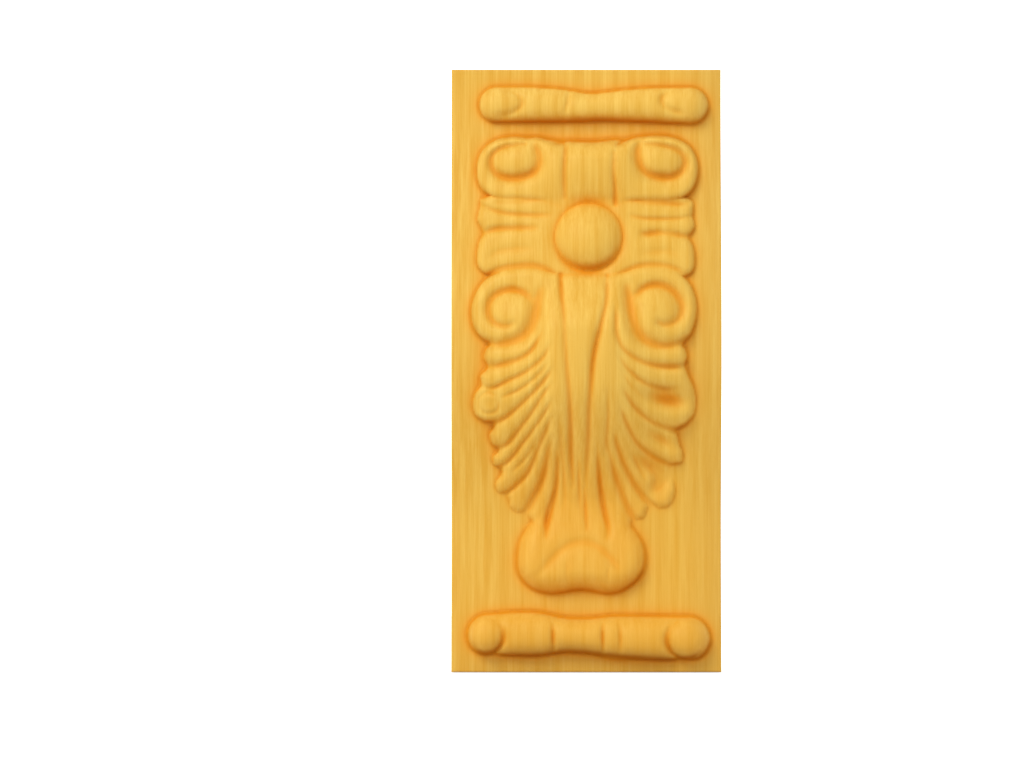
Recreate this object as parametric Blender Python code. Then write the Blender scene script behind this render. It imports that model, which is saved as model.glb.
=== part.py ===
"""A carved wooden pilaster capital: a block with a flat back and an acanthus leaf in relief.

The block stands on its underside with the carving towards -Y. Its origin is at the middle of the
box around it, at the level of the underside.
"""

import bpy
import numpy as np

# The block, in metres. Levels are heights above the underside.
BLOCK_WIDTH = 0.085
BLOCK_HEIGHT = 0.190
TOP_THICKNESS = 0.018
BELLY_THICKNESS = 0.031
NECK_THICKNESS = 0.0222
FOOT_THICKNESS = 0.026
SWELL_LEVEL = 0.186
BELLY_LEVEL = 0.101
NECK_LEVEL = 0.046

# The two rods across the face.
TOP_ROD_MARGIN = 0.0062
TOP_ROD_HEIGHT = 0.0105
TOP_ROD_LENGTH = 0.0715
TOP_ROD_PROUD = 0.0062
TOP_ROD_WAIST = 0.0011
FOOT_ROD_MARGIN = 0.0044
FOOT_ROD_HEIGHT = 0.0132
FOOT_ROD_LENGTH = 0.0762
FOOT_ROD_PROUD = 0.0078
FOOT_ROD_WAIST = 0.0013
FOOT_BALL_RADIUS = 0.0054
FOOT_BALL_PROUD = 0.0083

# The carving between the rods, and how far each part of it stands proud of the block's front.
CARVING_GAP = 0.0060
CARVING_HEIGHT = 0.144
LEAF_PROUD = 0.014
LEAF_TOP_PROUD = 0.007
LEAF_FOOT_PROUD = 0.002
LEAF_EDGE_PROUD = 0.0048
LEAF_LOW_EDGE_PROUD = 0.0026
TOE_PROUD = 0.0074
HEAD_PROUD = 0.010
HEAD_TOP_PROUD = 0.005
HEAD_FOOT_PROUD = 0.0056
HEAD_EDGE_PROUD = 0.005
FINGER_PROUD = 0.0058
COLLAR_PROUD = 0.0066
BALL_PROUD = 0.0105
BALL_RADIUS = 0.0104
BALL_SEAT = 0.0042

# The carving is drawn in parts, and its height holds this many of them.
PARTS_HIGH = 144.0
PART = CARVING_HEIGHT / PARTS_HIGH
CARVING_TOP = BLOCK_HEIGHT - TOP_ROD_MARGIN - TOP_ROD_HEIGHT - CARVING_GAP
CARVING_FOOT = CARVING_TOP - CARVING_HEIGHT

# How the tool leaves the relief: the fall of its walls, in parts down for each part out,
# and the fill left in a valley, in parts.
WALL_SLOPE = 4.0
VALLEY_FILL = 0.7

# The mesh of the front, before and after it is thinned.
GRID_STEP = 0.0009
KEPT_SHARE = 0.20

BEECH_COLOUR = (0.86, 0.50, 0.11, 1.0)
BEECH_ROUGHNESS = 0.62

# Lines of the carving: points (out from the middle, up from the toe) and half-widths along them.
RIBS = [
    ([(8.0, 96), (12.4, 86), (16.6, 80.2), (23.0, 76.6), (30.4, 75.8)], [2.0, 2.8, 3.2, 3.1, 2.6]),
    ([(7.6, 90), (11.6, 79), (16.8, 73.4), (23.4, 70.4), (30.2, 68.8)], [1.6, 2.4, 2.8, 2.6, 2.2]),
    ([(7.4, 84), (11.4, 74.4), (16.0, 69.2), (21.4, 65.6), (26.4, 63.8)], [1.4, 2.2, 2.6, 2.6, 2.0]),
    ([(7.0, 76), (10.6, 67.4), (14.2, 62.2), (18.4, 57.2), (22.8, 53.2), (27.0, 50.8)],
     [1.2, 1.9, 2.4, 2.5, 3.0]),
    ([(6.8, 70), (10.0, 61.6), (13.6, 56.0), (18.2, 50.4), (23.0, 46.2), (28.2, 43.6)],
     [1.2, 1.8, 2.3, 2.3, 1.8]),
    ([(6.6, 66), (9.6, 56.0), (13.0, 49.4), (17.0, 43.4), (21.6, 38.4), (26.4, 34.4)],
     [1.2, 1.9, 2.6, 3.0, 2.7]),
    ([(6.6, 60), (9.2, 50.0), (12.2, 43.2), (15.8, 37.0), (19.6, 31.8), (22.4, 28.4)],
     [1.2, 1.9, 2.5, 2.5, 2.0]),
    ([(6.8, 54), (9.0, 44.4), (11.0, 37.8), (13.6, 31.6), (16.2, 26.6), (17.8, 22.0)],
     [1.2, 1.8, 2.1, 2.3, 2.4]),
]
HOOKED_RIB = (
    [(7.2, 80), (11.2, 70.6), (15.0, 65.6), (19.6, 61.4), (24.6, 58.5), (29.4, 57.6), (33.0, 59.6),
     (34.2, 62.8), (32.6, 65.6), (30.0, 65.8)],
    [1.2, 1.8, 2.2, 2.2, 2.0, 1.9, 1.7, 1.3],
)
LEAF_BED = [
    (0, 103), (9, 103), (13, 98), (13.4, 86), (20, 80.5), (29, 78), (30.5, 73), (29, 66), (27.5, 58),
    (25.4, 51), (25.8, 45), (23.4, 38), (19.2, 31), (16, 24), (10, 20), (0, 19), (-9, 20), (-9, 100),
]
TOE_OUTLINE = [
    (0, 2.0), (3.4, 1.2), (7.2, 0.3), (11.8, 0.5), (16.4, 3.0), (19.6, 7.2), (20.6, 12.4),
    (20.0, 17.4), (17.8, 22.6), (15, 27.5), (10, 29), (0, 29), (-8, 28), (-8, 0.6),
]
FINGER_BED = [
    (8, 128), (20, 127), (30, 127), (33.6, 124), (33.8, 119), (31.8, 116), (33.6, 111),
    (33.8, 106), (31, 102.5), (20, 101), (9, 101), (4, 110), (4, 124),
]
SHAFT_BED = [
    (0, 143.6), (4, 144.0), (8, 144.9), (14, 144.6), (18, 142), (14, 131), (13, 122), (0, 121),
    (-6, 130), (-6, 140),
]
SHAFT = [
    (0, 143.8), (4, 144.2), (7.6, 145.2), (7.9, 140), (7.9, 130), (8.0, 121), (0, 120), (-6, 121),
    (-6, 143.8),
]
HEAD_RIM = [
    (9.6, 131.0), (14.0, 130.4), (19.0, 129.2), (24.0, 128.8), (28.6, 130.2), (31.8, 133.4),
    (32.8, 137.4), (31.4, 141.0), (28.2, 143.4), (24.0, 144.4), (20.0, 144.4),
]
HEAD_EYE = (22.9, 137.4)
LOWER_EYE = (22.9, 90.5)
BALL_CENTRE = (0.0, 113.7)


def ease(start, end, value):
    """A smooth step from 0 at start to 1 at end."""
    share = np.clip((value - start) / (end - start), 0.0, 1.0)
    return share * share * (3.0 - 2.0 * share)


def parts(length):
    """A length in metres as parts of the carving."""
    return length / PART


def block_thickness(level):
    """How thick the plain block is at a height above its underside."""
    swell = (BELLY_THICKNESS - TOP_THICKNESS) * ease(SWELL_LEVEL, BELLY_LEVEL, level)
    fall = (BELLY_THICKNESS - NECK_THICKNESS) * ease(BELLY_LEVEL, NECK_LEVEL, level)
    kick = (FOOT_THICKNESS - NECK_THICKNESS) * ease(NECK_LEVEL, 0.0, level)
    return TOP_THICKNESS + swell - fall + kick


def curve_through(points, steps=8):
    """A smooth line through a few points."""
    p = np.array(points, float)
    p = np.vstack([2 * p[0] - p[1], p, 2 * p[-1] - p[-2]])
    t = np.linspace(0.0, 1.0, steps, endpoint=False)[:, None]
    line = []
    for a, b, c, d in zip(p, p[1:], p[2:], p[3:]):
        bend = (2 * a - 5 * b + 4 * c - d) * t**2 + (3 * b - a - 3 * c + d) * t**3
        line.append(0.5 * (2 * b + (c - a) * t + bend))
    return np.vstack(line + [p[-2:-1]])


def scroll(centre, start_radius, end_radius, start_turn, end_turn, flatten=1.0, steps=40):
    """A spiral line; turns count from straight up, outwards first."""
    angle = 2.0 * np.pi * np.linspace(start_turn, end_turn, steps)
    radius = np.linspace(start_radius, end_radius, steps)
    out = centre[0] + radius * np.sin(angle)
    return np.column_stack([out, centre[1] + flatten * radius * np.cos(angle)])


def soft_max(a, b, fill):
    """The higher of two heights, with the valley between them filled a little."""
    share = np.clip(0.5 + 0.5 * (a - b) / fill, 0.0, 1.0)
    return b + (a - b) * share + fill * share * (1.0 - share)


def nearest(line, across, up):
    """The distance from each point to a line, and how far along the line that is, from 0 to 1."""
    lengths = np.hypot(*np.diff(line, axis=0).T)
    starts = np.concatenate([[0.0], np.cumsum(lengths)])
    distance = np.full(across.shape, np.inf)
    share = np.zeros(across.shape)
    for (ax, ay), (bx, by), start, length in zip(line, line[1:], starts, lengths):
        t = ((across - ax) * (bx - ax) + (up - ay) * (by - ay)) / length**2
        t = np.clip(t, 0.0, 1.0)
        d = np.hypot(across - ax - t * (bx - ax), up - ay - t * (by - ay))
        closer = d < distance
        distance = np.where(closer, d, distance)
        share = np.where(closer, (start + t * length) / starts[-1], share)
    return distance, share


def along(share, values):
    """Values spread evenly along a line, read at a share of its length."""
    return np.interp(share, np.linspace(0.0, 1.0, len(values)), values)


def drop(distance, width, roundness):
    """How far a rounded form falls below its crown: gently over its width, then as a wall."""
    t = np.minimum(distance / width, 1.0)
    return roundness * (0.6 * t**2 + 0.4 * t**4) + WALL_SLOPE * np.maximum(distance - width, 0.0)


class Relief:
    """Heights above the block's front, in parts, over points across and up the carving."""

    def __init__(self, across, up):
        self.across = across
        self.up = up
        self.height = np.zeros_like(across)

    def near(self, line, reach):
        low = line.min(axis=0) - reach
        high = line.max(axis=0) + reach
        beside = (self.across > low[0]) & (self.across < high[0])
        return beside & (self.up > low[1]) & (self.up < high[1])

    def raise_to(self, zone, top, fill):
        self.height[zone] = soft_max(self.height[zone], top, fill)

    def bead(self, line, widths, crest, sinks=(0.0,), roundness=None, fill=VALLEY_FILL):
        """A rounded ridge along a line, its crown sunk below the crest."""
        zone = self.near(line, max(widths) + 4.5)
        distance, share = nearest(line, self.across[zone], self.up[zone])
        width = along(share, widths)
        fall = 0.62 * width if roundness is None else roundness
        self.raise_to(zone, crest[zone] - along(share, sinks) - drop(distance, width, fall), fill)

    def slab(self, outline, crest, sink, edge, roundness, fill=VALLEY_FILL):
        """Everything inside a closed outline, rounded off over its edge."""
        line = curve_through(outline, 5)
        line = np.vstack([line, line[:1]])
        zone = self.near(line, 4.5)
        across = self.across[zone]
        up = self.up[zone]
        distance, _ = nearest(line, across, up)
        inside = np.zeros(across.shape, bool)
        for (ax, ay), (bx, by) in zip(line, line[1:]):
            if ay != by:
                inside ^= ((ay > up) != (by > up)) & (across < (bx - ax) * (up - ay) / (by - ay) + ax)
        from_edge = np.where(inside, edge - np.minimum(distance, edge), edge + distance)
        self.raise_to(zone, crest[zone] - sink - drop(from_edge, edge, roundness), fill)

    def boss(self, centre, radii, crest, sink, roundness, fill=VALLEY_FILL):
        """A domed oval."""
        radius = 0.5 * (radii[0] + radii[1])
        away = radius * np.hypot((self.across - centre[0]) / radii[0], (self.up - centre[1]) / radii[1])
        zone = away < radius + 4.5
        self.raise_to(zone, crest[zone] - sink - drop(away[zone], radius, roundness), fill)

    def groove(self, line, widths, depths):
        """A hollow cut along a line."""
        zone = self.near(line, 3.0 * max(widths))
        distance, share = nearest(line, self.across[zone], self.up[zone])
        self.height[zone] -= along(share, depths) * np.exp(-((distance / along(share, widths)) ** 2))


def leaf_crest(across, up):
    """The leaf before it is cut into ribs: highest on the belly, low at the toe and the sides."""
    crest = parts(LEAF_PROUD) - parts(LEAF_PROUD - LEAF_TOP_PROUD) * ease(86.0, 102.0, up)
    crest = crest - parts(LEAF_PROUD - LEAF_FOOT_PROUD) * ease(68.0, 28.0, up)
    edge = parts(LEAF_LOW_EDGE_PROUD) + parts(LEAF_EDGE_PROUD - LEAF_LOW_EDGE_PROUD) * ease(30.0, 90.0, up)
    return crest + (edge - crest) * np.clip(across / 33.0, 0.0, 1.0) ** 2


def head_crest(across, up):
    """The height of the shaft and the upper scrolls before they are cut."""
    crest = parts(HEAD_PROUD) - parts(HEAD_PROUD - HEAD_TOP_PROUD) * ease(138.5, 146.0, up)
    crest = crest - parts(HEAD_PROUD - HEAD_FOOT_PROUD) * ease(137.0, 121.0, up)
    edge = parts(HEAD_EDGE_PROUD) * (1.0 - 0.16 * ease(130.0, 118.0, up))
    return crest + (edge - crest) * np.clip(across / 34.0, 0.0, 1.0) ** 2


def carve_fingers(relief):
    """Three fingers at each side of the ball; the lowest is a lobe with a raised rim."""
    crest = np.full_like(relief.up, parts(FINGER_PROUD))
    relief.slab(FINGER_BED, crest, 1.3, 1.4, 1.0)
    upper = curve_through([(11, 123.2), (22, 123.0), (30, 123.6), (34.0, 124.6)])
    middle = curve_through([(11, 119.1), (22, 119.1), (30, 119.3), (34.2, 119.6)])
    rim = curve_through(
        [(11, 112.8), (20, 113.2), (27.3, 112.6), (31.4, 110.2), (33.6, 106.8), (33.4, 104.4)]
    )
    lower = curve_through([(11, 106.6), (20, 106.6), (26, 106.2), (31.0, 105.0)])
    relief.bead(upper, [1.6, 1.6, 1.5, 1.2], crest, [0.5])
    relief.bead(middle, [2.2, 2.1, 2.1, 2.6], crest, [0.1])
    relief.bead(rim, [2.4, 2.2, 2.0, 1.8, 1.6], crest)
    relief.bead(lower, [2.2, 2.1, 2.0, 1.8], crest, [0.2])
    relief.groove(curve_through([(15.4, 116.0), (31.6, 115.8)]), [1.0, 1.1], [1.2, 1.4, 1.6])


def carve_leaf(relief, crest):
    """The leaf's body, its stem, and a fan of ribs whose tips make the scalloped edge."""
    relief.slab(LEAF_BED, crest, 1.2, 2.0, 1.0)
    for points, widths in RIBS + [HOOKED_RIB]:
        relief.bead(curve_through(points), widths, crest, [1.4, 0.4, 0.3, 0.3, 0.3])
    stem = curve_through([(0, 93), (0, 80), (0, 60), (0, 40), (0, 18)])
    relief.bead(stem, [9.5, 9.0, 7.6, 7.6, 9.5], crest, roundness=0.9)
    relief.boss((30.2, 61.6), (2.6, 2.6), crest, 1.4, 0.3)


def carve_lower_scroll(relief, crest):
    """A ridge that rises beside the stem, rolls over outwards and ends in a round eye."""
    relief.boss(LOWER_EYE, (10.5, 10.5), crest, 1.9, 0.6)
    rise = curve_through([(7.4, 76), (10.0, 83), (11.8, 89), (13.4, 95), (16.4, 99.8)])
    relief.bead(rise, [1.2, 2.2, 2.8, 2.8], crest, [1.6, 0.2, -0.1, -0.1])
    relief.bead(scroll(LOWER_EYE, 11.2, 6.0, -0.10, 0.80), [2.8, 3.0, 2.8, 2.4], crest, [-0.2])
    relief.boss(LOWER_EYE, (5.4, 5.4), crest, -0.7, 2.0)


def carve_stem_grooves(relief):
    """Long grooves that part towards the top of the stem and spread again above the toe."""
    inner = curve_through([(7.0, 100), (6.6, 94), (4.4, 81), (2.7, 62.5), (1.9, 46), (1.6, 31), (1.7, 21)])
    outer = curve_through([(9.2, 70), (8.6, 58), (8.3, 46.8), (9.4, 31), (11.6, 19)])
    between = curve_through([(5.2, 62), (5.0, 50), (5.4, 36), (6.4, 22)])
    relief.groove(inner, [0.8, 0.9, 0.9], [0.7, 1.0, 0.9, 0.4])
    relief.groove(outer, [0.7, 0.9, 1.0], [0.1, 0.7, 1.3, 1.7, 0.6])
    relief.groove(between, [0.8, 0.8], [0.1, 0.5, 0.6, 0.2])


def carve_toe(relief):
    """The rolled end of the leaf, with a raised dome inside a crease."""
    crest = parts(LEAF_FOOT_PROUD) + parts(TOE_PROUD - LEAF_FOOT_PROUD) * ease(25.0, 14.0, relief.up)
    relief.slab(TOE_OUTLINE, crest, 0.0, 7.0, 4.2)
    away = np.hypot(relief.across, relief.up - 6.0) / 12.0
    relief.height += 1.1 * np.clip(1.0 - away**2, 0.0, 1.0) ** 0.7 * ease(0.5, 5.0, relief.up)
    relief.groove(scroll((0, 5.6), 12.6, 12.6, 0.0, 0.27), [1.2, 1.2], [0.7, 0.8, 0.9, 0.2])


def carve_shaft(relief, crest):
    """The plain shaft between the upper scrolls, with a groove and a deep pick mark at each side."""
    relief.slab(SHAFT_BED, crest, 0.9, 1.6, 0.8)
    relief.slab(SHAFT, crest, 0.0, 1.4, 0.5)
    side = curve_through([(8.4, 144.6), (8.2, 138), (8.1, 130), (8.2, 123)])
    relief.groove(side, [0.6, 0.6], [1.2, 0.8, 0.6, 0.4])
    relief.groove(curve_through([(8.9, 144.4), (9.1, 143.4)]), [0.9, 0.9], [2.4, 2.4])


def carve_upper_scroll(relief, crest):
    """A band that leaves the shaft, sweeps under an oval eye and thins as it rolls over it."""
    relief.boss((23.2, 135.8), (10.4, 8.2), crest, 2.0, 0.6)
    widths = [5.6, 4.8, 4.0, 3.4, 2.9, 2.5, 2.2, 1.7, 1.3, 1.0, 0.7]
    relief.bead(curve_through(HEAD_RIM), widths, crest, roundness=1.6)
    relief.boss(HEAD_EYE, (6.6, 5.0), crest, 0.1, 2.0)
    relief.groove(scroll(HEAD_EYE, 8.4, 8.4, -0.1, 0.9, 0.8), [0.9, 0.9], [0.9, 0.9, 0.5, 0.4, 0.9])
    curl = curve_through([(16.8, 145.0), (15.0, 143.0), (12.0, 141.2), (9.0, 140.4)])
    relief.bead(curl, [0.5, 1.0, 1.0], crest)


def carve_ball(relief):
    """A ball in a collar that is open towards the shaft."""
    radius = parts(BALL_RADIUS)
    collar = np.full_like(relief.up, parts(COLLAR_PROUD))
    relief.boss(BALL_CENTRE, (radius + 4.6, radius + 4.6), collar, 1.2, 0.6)
    ring = scroll(BALL_CENTRE, radius + 3.0, radius + 3.0, 0.10, 0.41)
    relief.bead(ring, [1.8, 2.6, 2.8, 2.6], collar, roundness=1.2)
    away = np.hypot(relief.across, relief.up - BALL_CENTRE[1]) / radius
    seat = parts(BALL_SEAT)
    dome = seat + (parts(BALL_PROUD) - seat) * np.sqrt(np.clip(1.0 - away**2, 0.0, 1.0))
    relief.height = np.where(away < 1.0, dome, relief.height)
    crease = scroll(BALL_CENTRE, radius + 0.2, radius + 0.2, 0.0, 0.5)
    relief.groove(crease, [0.7, 0.7], [0.4, 0.6, 1.0, 2.0])


def carve_rod(across, up, middle, length, height, proud, waist, tilt):
    """A rod across the face with round ends and a narrower waist."""
    relief = Relief(across - middle, up)
    steps = np.linspace(-1.0, 1.0, 41)
    widths = 0.5 * height - waist * np.exp(-((steps / 0.22) ** 2))
    line = np.column_stack([steps * (0.5 * length - widths[0]), tilt * steps])
    relief.bead(line, widths, np.full_like(up, proud), roundness=0.5 * proud, fill=0.5)
    return relief


def mirrored(line, side):
    """A line drawn for one side, turned to the side given."""
    return np.column_stack([side * line[:, 0], line[:, 1]])


def top_rod(across, level):
    """The upper rod: a fold at each end and a notch at each side of the waist."""
    up = parts(level - (BLOCK_HEIGHT - TOP_ROD_MARGIN - 0.5 * TOP_ROD_HEIGHT))
    length = parts(TOP_ROD_LENGTH)
    height = parts(TOP_ROD_HEIGHT)
    relief = carve_rod(across, up, 1.6, length, height, parts(TOP_ROD_PROUD), parts(TOP_ROD_WAIST), 0.2)
    for side in (-1, 1):
        fold = scroll((0, 0), 5.4, 4.6, 0.06, 0.62, 0.77)
        fold = mirrored(np.column_stack([0.5 * length - 8.5 - fold[:, 0] * 1.1, fold[:, 1]]), side)
        relief.groove(fold, [0.7, 0.7], [0.5, 1.6, 1.4, 0.6])
        notch = np.array([(side * 7.2, 0.5 * height), (side * 7.0, -0.5 * height)])
        relief.groove(notch, [0.6, 0.6], [0.9, 0.5])
    return relief.height


def foot_rod(across, level):
    """The lower rod: a ball set in each end and a notch at each side of the waist."""
    up = parts(level - (FOOT_ROD_MARGIN + 0.5 * FOOT_ROD_HEIGHT))
    length = parts(FOOT_ROD_LENGTH)
    height = parts(FOOT_ROD_HEIGHT)
    relief = carve_rod(across, up, 1.0, length, height, parts(FOOT_ROD_PROUD), parts(FOOT_ROD_WAIST), -0.5)
    radius = parts(FOOT_BALL_RADIUS)
    crown = np.full_like(up, parts(FOOT_BALL_PROUD))
    for side in (-1, 1):
        seat = side * (0.5 * length - 6.6) - 1.0
        fold = scroll((0, 0), radius + 1.0, radius + 1.0, -0.04, -0.62)
        fold = mirrored(fold, side) + [seat, 0.0]
        relief.groove(fold, [0.8, 0.8], [0.4, 1.8, 2.4, 1.6])
        notch = np.array([(side * 9.2 - 2.0, 0.5 * height), (side * 9.0 - 2.0, -0.5 * height)])
        relief.groove(notch, [0.7, 0.7], [0.6, 0.9])
        relief.boss((seat, 0.3), (radius, radius), crown, 0.0, 3.0)
    return relief.height


def relief_height(x, level):
    """How far the carving stands proud of the block, in metres."""
    up = parts(level - CARVING_FOOT)
    drift = 0.7 - 2.5 * ease(118.0, 92.0, up)
    relief = Relief(np.abs(parts(x) - drift), up)
    leaf = leaf_crest(relief.across, up)
    head = head_crest(relief.across, up)
    carve_fingers(relief)
    carve_leaf(relief, leaf)
    carve_lower_scroll(relief, leaf)
    carve_stem_grooves(relief)
    carve_toe(relief)
    carve_shaft(relief, head)
    carve_upper_scroll(relief, head)
    carve_ball(relief)
    height = soft_max(relief.height, top_rod(parts(x), level), 0.5)
    height = soft_max(height, foot_rod(parts(x), level), 0.5)
    return PART * np.clip(height, 0.0, parts(LEAF_PROUD))


def steps_between(start, end):
    """Evenly spaced places, about a grid step apart."""
    return np.linspace(start, end, max(2, round((end - start) / GRID_STEP) + 1))


def capital_mesh():
    """The front as a grid, closed by four flat sides and a flat back."""
    xs = steps_between(-0.5 * BLOCK_WIDTH, 0.5 * BLOCK_WIDTH)
    levels = steps_between(0.0, BLOCK_HEIGHT)
    x, level = np.meshgrid(xs, levels)
    thickness = block_thickness(level) + relief_height(x, level)
    back = 0.5 * (BELLY_THICKNESS + LEAF_PROUD)
    rows, columns = x.shape
    verts = np.column_stack([x.ravel(), back - thickness.ravel(), level.ravel()]).tolist()
    number = np.arange(rows * columns).reshape(rows, columns)
    grid = np.stack([number[:-1, :-1], number[:-1, 1:], number[1:, 1:], number[1:, :-1]], axis=-1)
    faces = grid.reshape(-1, 4).tolist()
    low_left, low_right, top_left, top_right = range(len(verts), len(verts) + 4)
    for corner_level in (levels[0], levels[-1]):
        for corner_x in (xs[0], xs[-1]):
            verts.append((corner_x, back, corner_level))
    faces.append([low_left, low_right] + number[0, ::-1].tolist())
    faces.append([top_right, top_left] + number[-1].tolist())
    faces.append([top_left, low_left] + number[:, 0].tolist())
    faces.append([low_right, top_right] + number[::-1, -1].tolist())
    faces.append([low_left, top_left, top_right, low_right])
    mesh = bpy.data.meshes.new("carved_capital")
    mesh.from_pydata(verts, [], faces)
    inner = number[1:-1, 1:-1].ravel().tolist()
    return mesh, inner


def beech():
    """Waxed beech: warm yellow, fairly dull."""
    material = bpy.data.materials.new("beech")
    material.use_nodes = True
    shader = material.node_tree.nodes["Principled BSDF"]
    shader.inputs["Base Color"].default_value = BEECH_COLOUR
    shader.inputs["Roughness"].default_value = BEECH_ROUGHNESS
    shader.inputs["Metallic"].default_value = 0.0
    return material


def carved_capital():
    """The whole capital, thinned where it is plain; the rim keeps its points so the sides stay flat."""
    mesh, inner = capital_mesh()
    capital = bpy.data.objects.new("carved_capital", mesh)
    bpy.context.scene.collection.objects.link(capital)
    front = capital.vertex_groups.new(name="front")
    front.add(inner, 1.0, "REPLACE")
    thin = capital.modifiers.new("thin out plain areas", "DECIMATE")
    thin.decimate_type = "COLLAPSE"
    thin.ratio = KEPT_SHARE
    thin.vertex_group = front.name
    mesh.materials.append(beech())
    mesh.shade_smooth()
    mesh.set_sharp_from_angle(angle=np.radians(40.0))
    return capital


def main():
    for old in list(bpy.data.objects):
        bpy.data.objects.remove(old, do_unlink=True)
    carved_capital()


main()
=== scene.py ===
"""The looks of a carved wooden pilaster capital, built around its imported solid.

The capital stands on its underside with the carving towards -Y. The carving is worked out as
heights above the block's front, in parts: its height holds 144 of them.
"""

import bpy
import numpy as np
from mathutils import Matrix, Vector


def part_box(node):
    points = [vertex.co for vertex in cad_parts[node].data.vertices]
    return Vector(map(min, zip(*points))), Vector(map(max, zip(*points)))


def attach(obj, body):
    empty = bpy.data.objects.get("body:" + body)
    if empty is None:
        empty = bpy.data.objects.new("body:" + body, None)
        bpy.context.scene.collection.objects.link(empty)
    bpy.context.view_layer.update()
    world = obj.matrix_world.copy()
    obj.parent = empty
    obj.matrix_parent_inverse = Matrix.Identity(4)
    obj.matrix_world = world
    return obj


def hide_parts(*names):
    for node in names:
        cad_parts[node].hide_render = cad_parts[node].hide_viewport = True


bl_info = {
    "name": "Carved capital",
    "version": (1, 0, 0),
    "blender": (4, 5, 0),
    "location": "3D View > Sidebar > Capital",
    "description": "A carved wooden pilaster capital with a waxed beech finish",
    "category": "Object",
}

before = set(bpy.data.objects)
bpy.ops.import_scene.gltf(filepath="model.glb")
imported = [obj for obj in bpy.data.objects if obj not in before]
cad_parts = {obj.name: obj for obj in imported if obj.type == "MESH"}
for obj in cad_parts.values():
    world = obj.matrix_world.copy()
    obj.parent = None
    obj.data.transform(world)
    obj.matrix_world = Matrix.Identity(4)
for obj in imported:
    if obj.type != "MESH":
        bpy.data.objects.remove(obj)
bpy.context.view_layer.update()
NODE = "carved_capital"
LOW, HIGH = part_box(NODE)

# The block, in metres. Levels are heights above the underside.
BLOCK_HEIGHT = 0.190
TOP_THICKNESS = 0.018
BELLY_THICKNESS = 0.031
NECK_THICKNESS = 0.0222
FOOT_THICKNESS = 0.026
SWELL_LEVEL = 0.186
BELLY_LEVEL = 0.101
NECK_LEVEL = 0.046

# The two rods across the face.
TOP_ROD_MARGIN = 0.0062
TOP_ROD_HEIGHT = 0.0105
TOP_ROD_LENGTH = 0.0715
TOP_ROD_PROUD = 0.0062
TOP_ROD_WAIST = 0.0011
FOOT_ROD_MARGIN = 0.0044
FOOT_ROD_HEIGHT = 0.0132
FOOT_ROD_LENGTH = 0.0762
FOOT_ROD_PROUD = 0.0078
FOOT_ROD_WAIST = 0.0013
FOOT_BALL_RADIUS = 0.0048
FOOT_BALL_PROUD = 0.0081

# The carving between the rods, and how far each part of it stands proud of the block's front.
CARVING_GAP = 0.0060
CARVING_HEIGHT = 0.144
LEAF_PROUD = 0.014
LEAF_TOP_PROUD = 0.007
LEAF_FOOT_PROUD = 0.002
LEAF_EDGE_PROUD = 0.0034
LEAF_LOW_EDGE_PROUD = 0.0020
TOE_PROUD = 0.0070
HEAD_PROUD = 0.010
HEAD_TOP_PROUD = 0.005
HEAD_FOOT_PROUD = 0.0056
HEAD_EDGE_PROUD = 0.0036
FINGER_PROUD = 0.0062
FINGER_EDGE_PROUD = 0.0032
BALL_PROUD = 0.0105
BALL_RADIUS = 0.0104
BALL_SEAT = 0.0062

# The carving is drawn in parts, and its height holds this many of them.
PARTS_HIGH = 144.0
PART = CARVING_HEIGHT / PARTS_HIGH
CARVING_TOP = BLOCK_HEIGHT - TOP_ROD_MARGIN - TOP_ROD_HEIGHT - CARVING_GAP
CARVING_FOOT = CARVING_TOP - CARVING_HEIGHT

# How the tool leaves the relief: the fall of its walls, in parts down for each part out, how far
# they start inside an outline, the fill left in a valley and the deepest cut into the block, in parts.
WALL_SLOPE = 3.4
TOE_WALL_SLOPE = 2.6
WALL_INSET = 1.0
VALLEY_FILL = 0.9
TOE_FILL = 2.0
BALL_FILL = 0.8
ROD_FILL = 0.5
FOOT_BALL_FILL = 1.2
GROUND_CUT = 0.35

# Each cut is a narrow hollow with this share of the depth, inside a wider one.
NARROW_SHARE = 0.66
WIDE_REACH = 2.4

# A cut is drawn in touches this many half-widths apart, and reaches this many half-widths out.
GROOVE_SPACING = 0.6
GROOVE_REACH = 5.0

# How far past its line a raised form is worked out, in parts.
WALL_REACH = 4.5

# How the crests run, in parts: each pair is where a fall or rise starts and ends, up from the toe,
# and a shift moves a crest sideways.
LEAF_TOP_FALL = (84.0, 103.0)
LEAF_FOOT_FALL = (68.0, 28.0)
LEAF_TOE_FALL = (25.0, 13.0)
LEAF_TOE_DROP = 4.0
LEAF_EDGE_RISE = (30.0, 90.0)
LEAF_SHIFT = 1.5
HEAD_TOP_FALL = (138.0, 147.0)
HEAD_FOOT_FALL = (137.0, 121.0)
HEAD_EDGE_FALL = (130.0, 118.0)
HEAD_EDGE_DROP = 0.16
HEAD_SHIFT = -0.7
SHAFT_HALF_WIDTH = 17.0
SHAFT_SHARE = 0.6
TOE_RISE = (44.0, 9.0)
TOE_SUNK = 2.0
TOE_TIP_FALL = (9.0, 0.0)
TOE_TIP_DROP = 2.2
FINGER_SINK = 0.2

# Across, a crest bends down by this power from the middle to its edge height at the reach, in
# parts, and goes on to the limit, as a share of the reach.
SIDE_POWER = 1.8
SIDE_REACH = 36.0
SIDE_LIMIT = 1.2
FINGER_REACH = 35.0

# How each slab is rounded, in parts: over this much of its edge, by this fall.
FINGER_EDGE = (2.4, 1.4)
LEAF_EDGE = (2.5, 1.5)
TOE_EDGE = (6.0, 3.2)
HEAD_EDGE = (2.2, 1.3)

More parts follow.
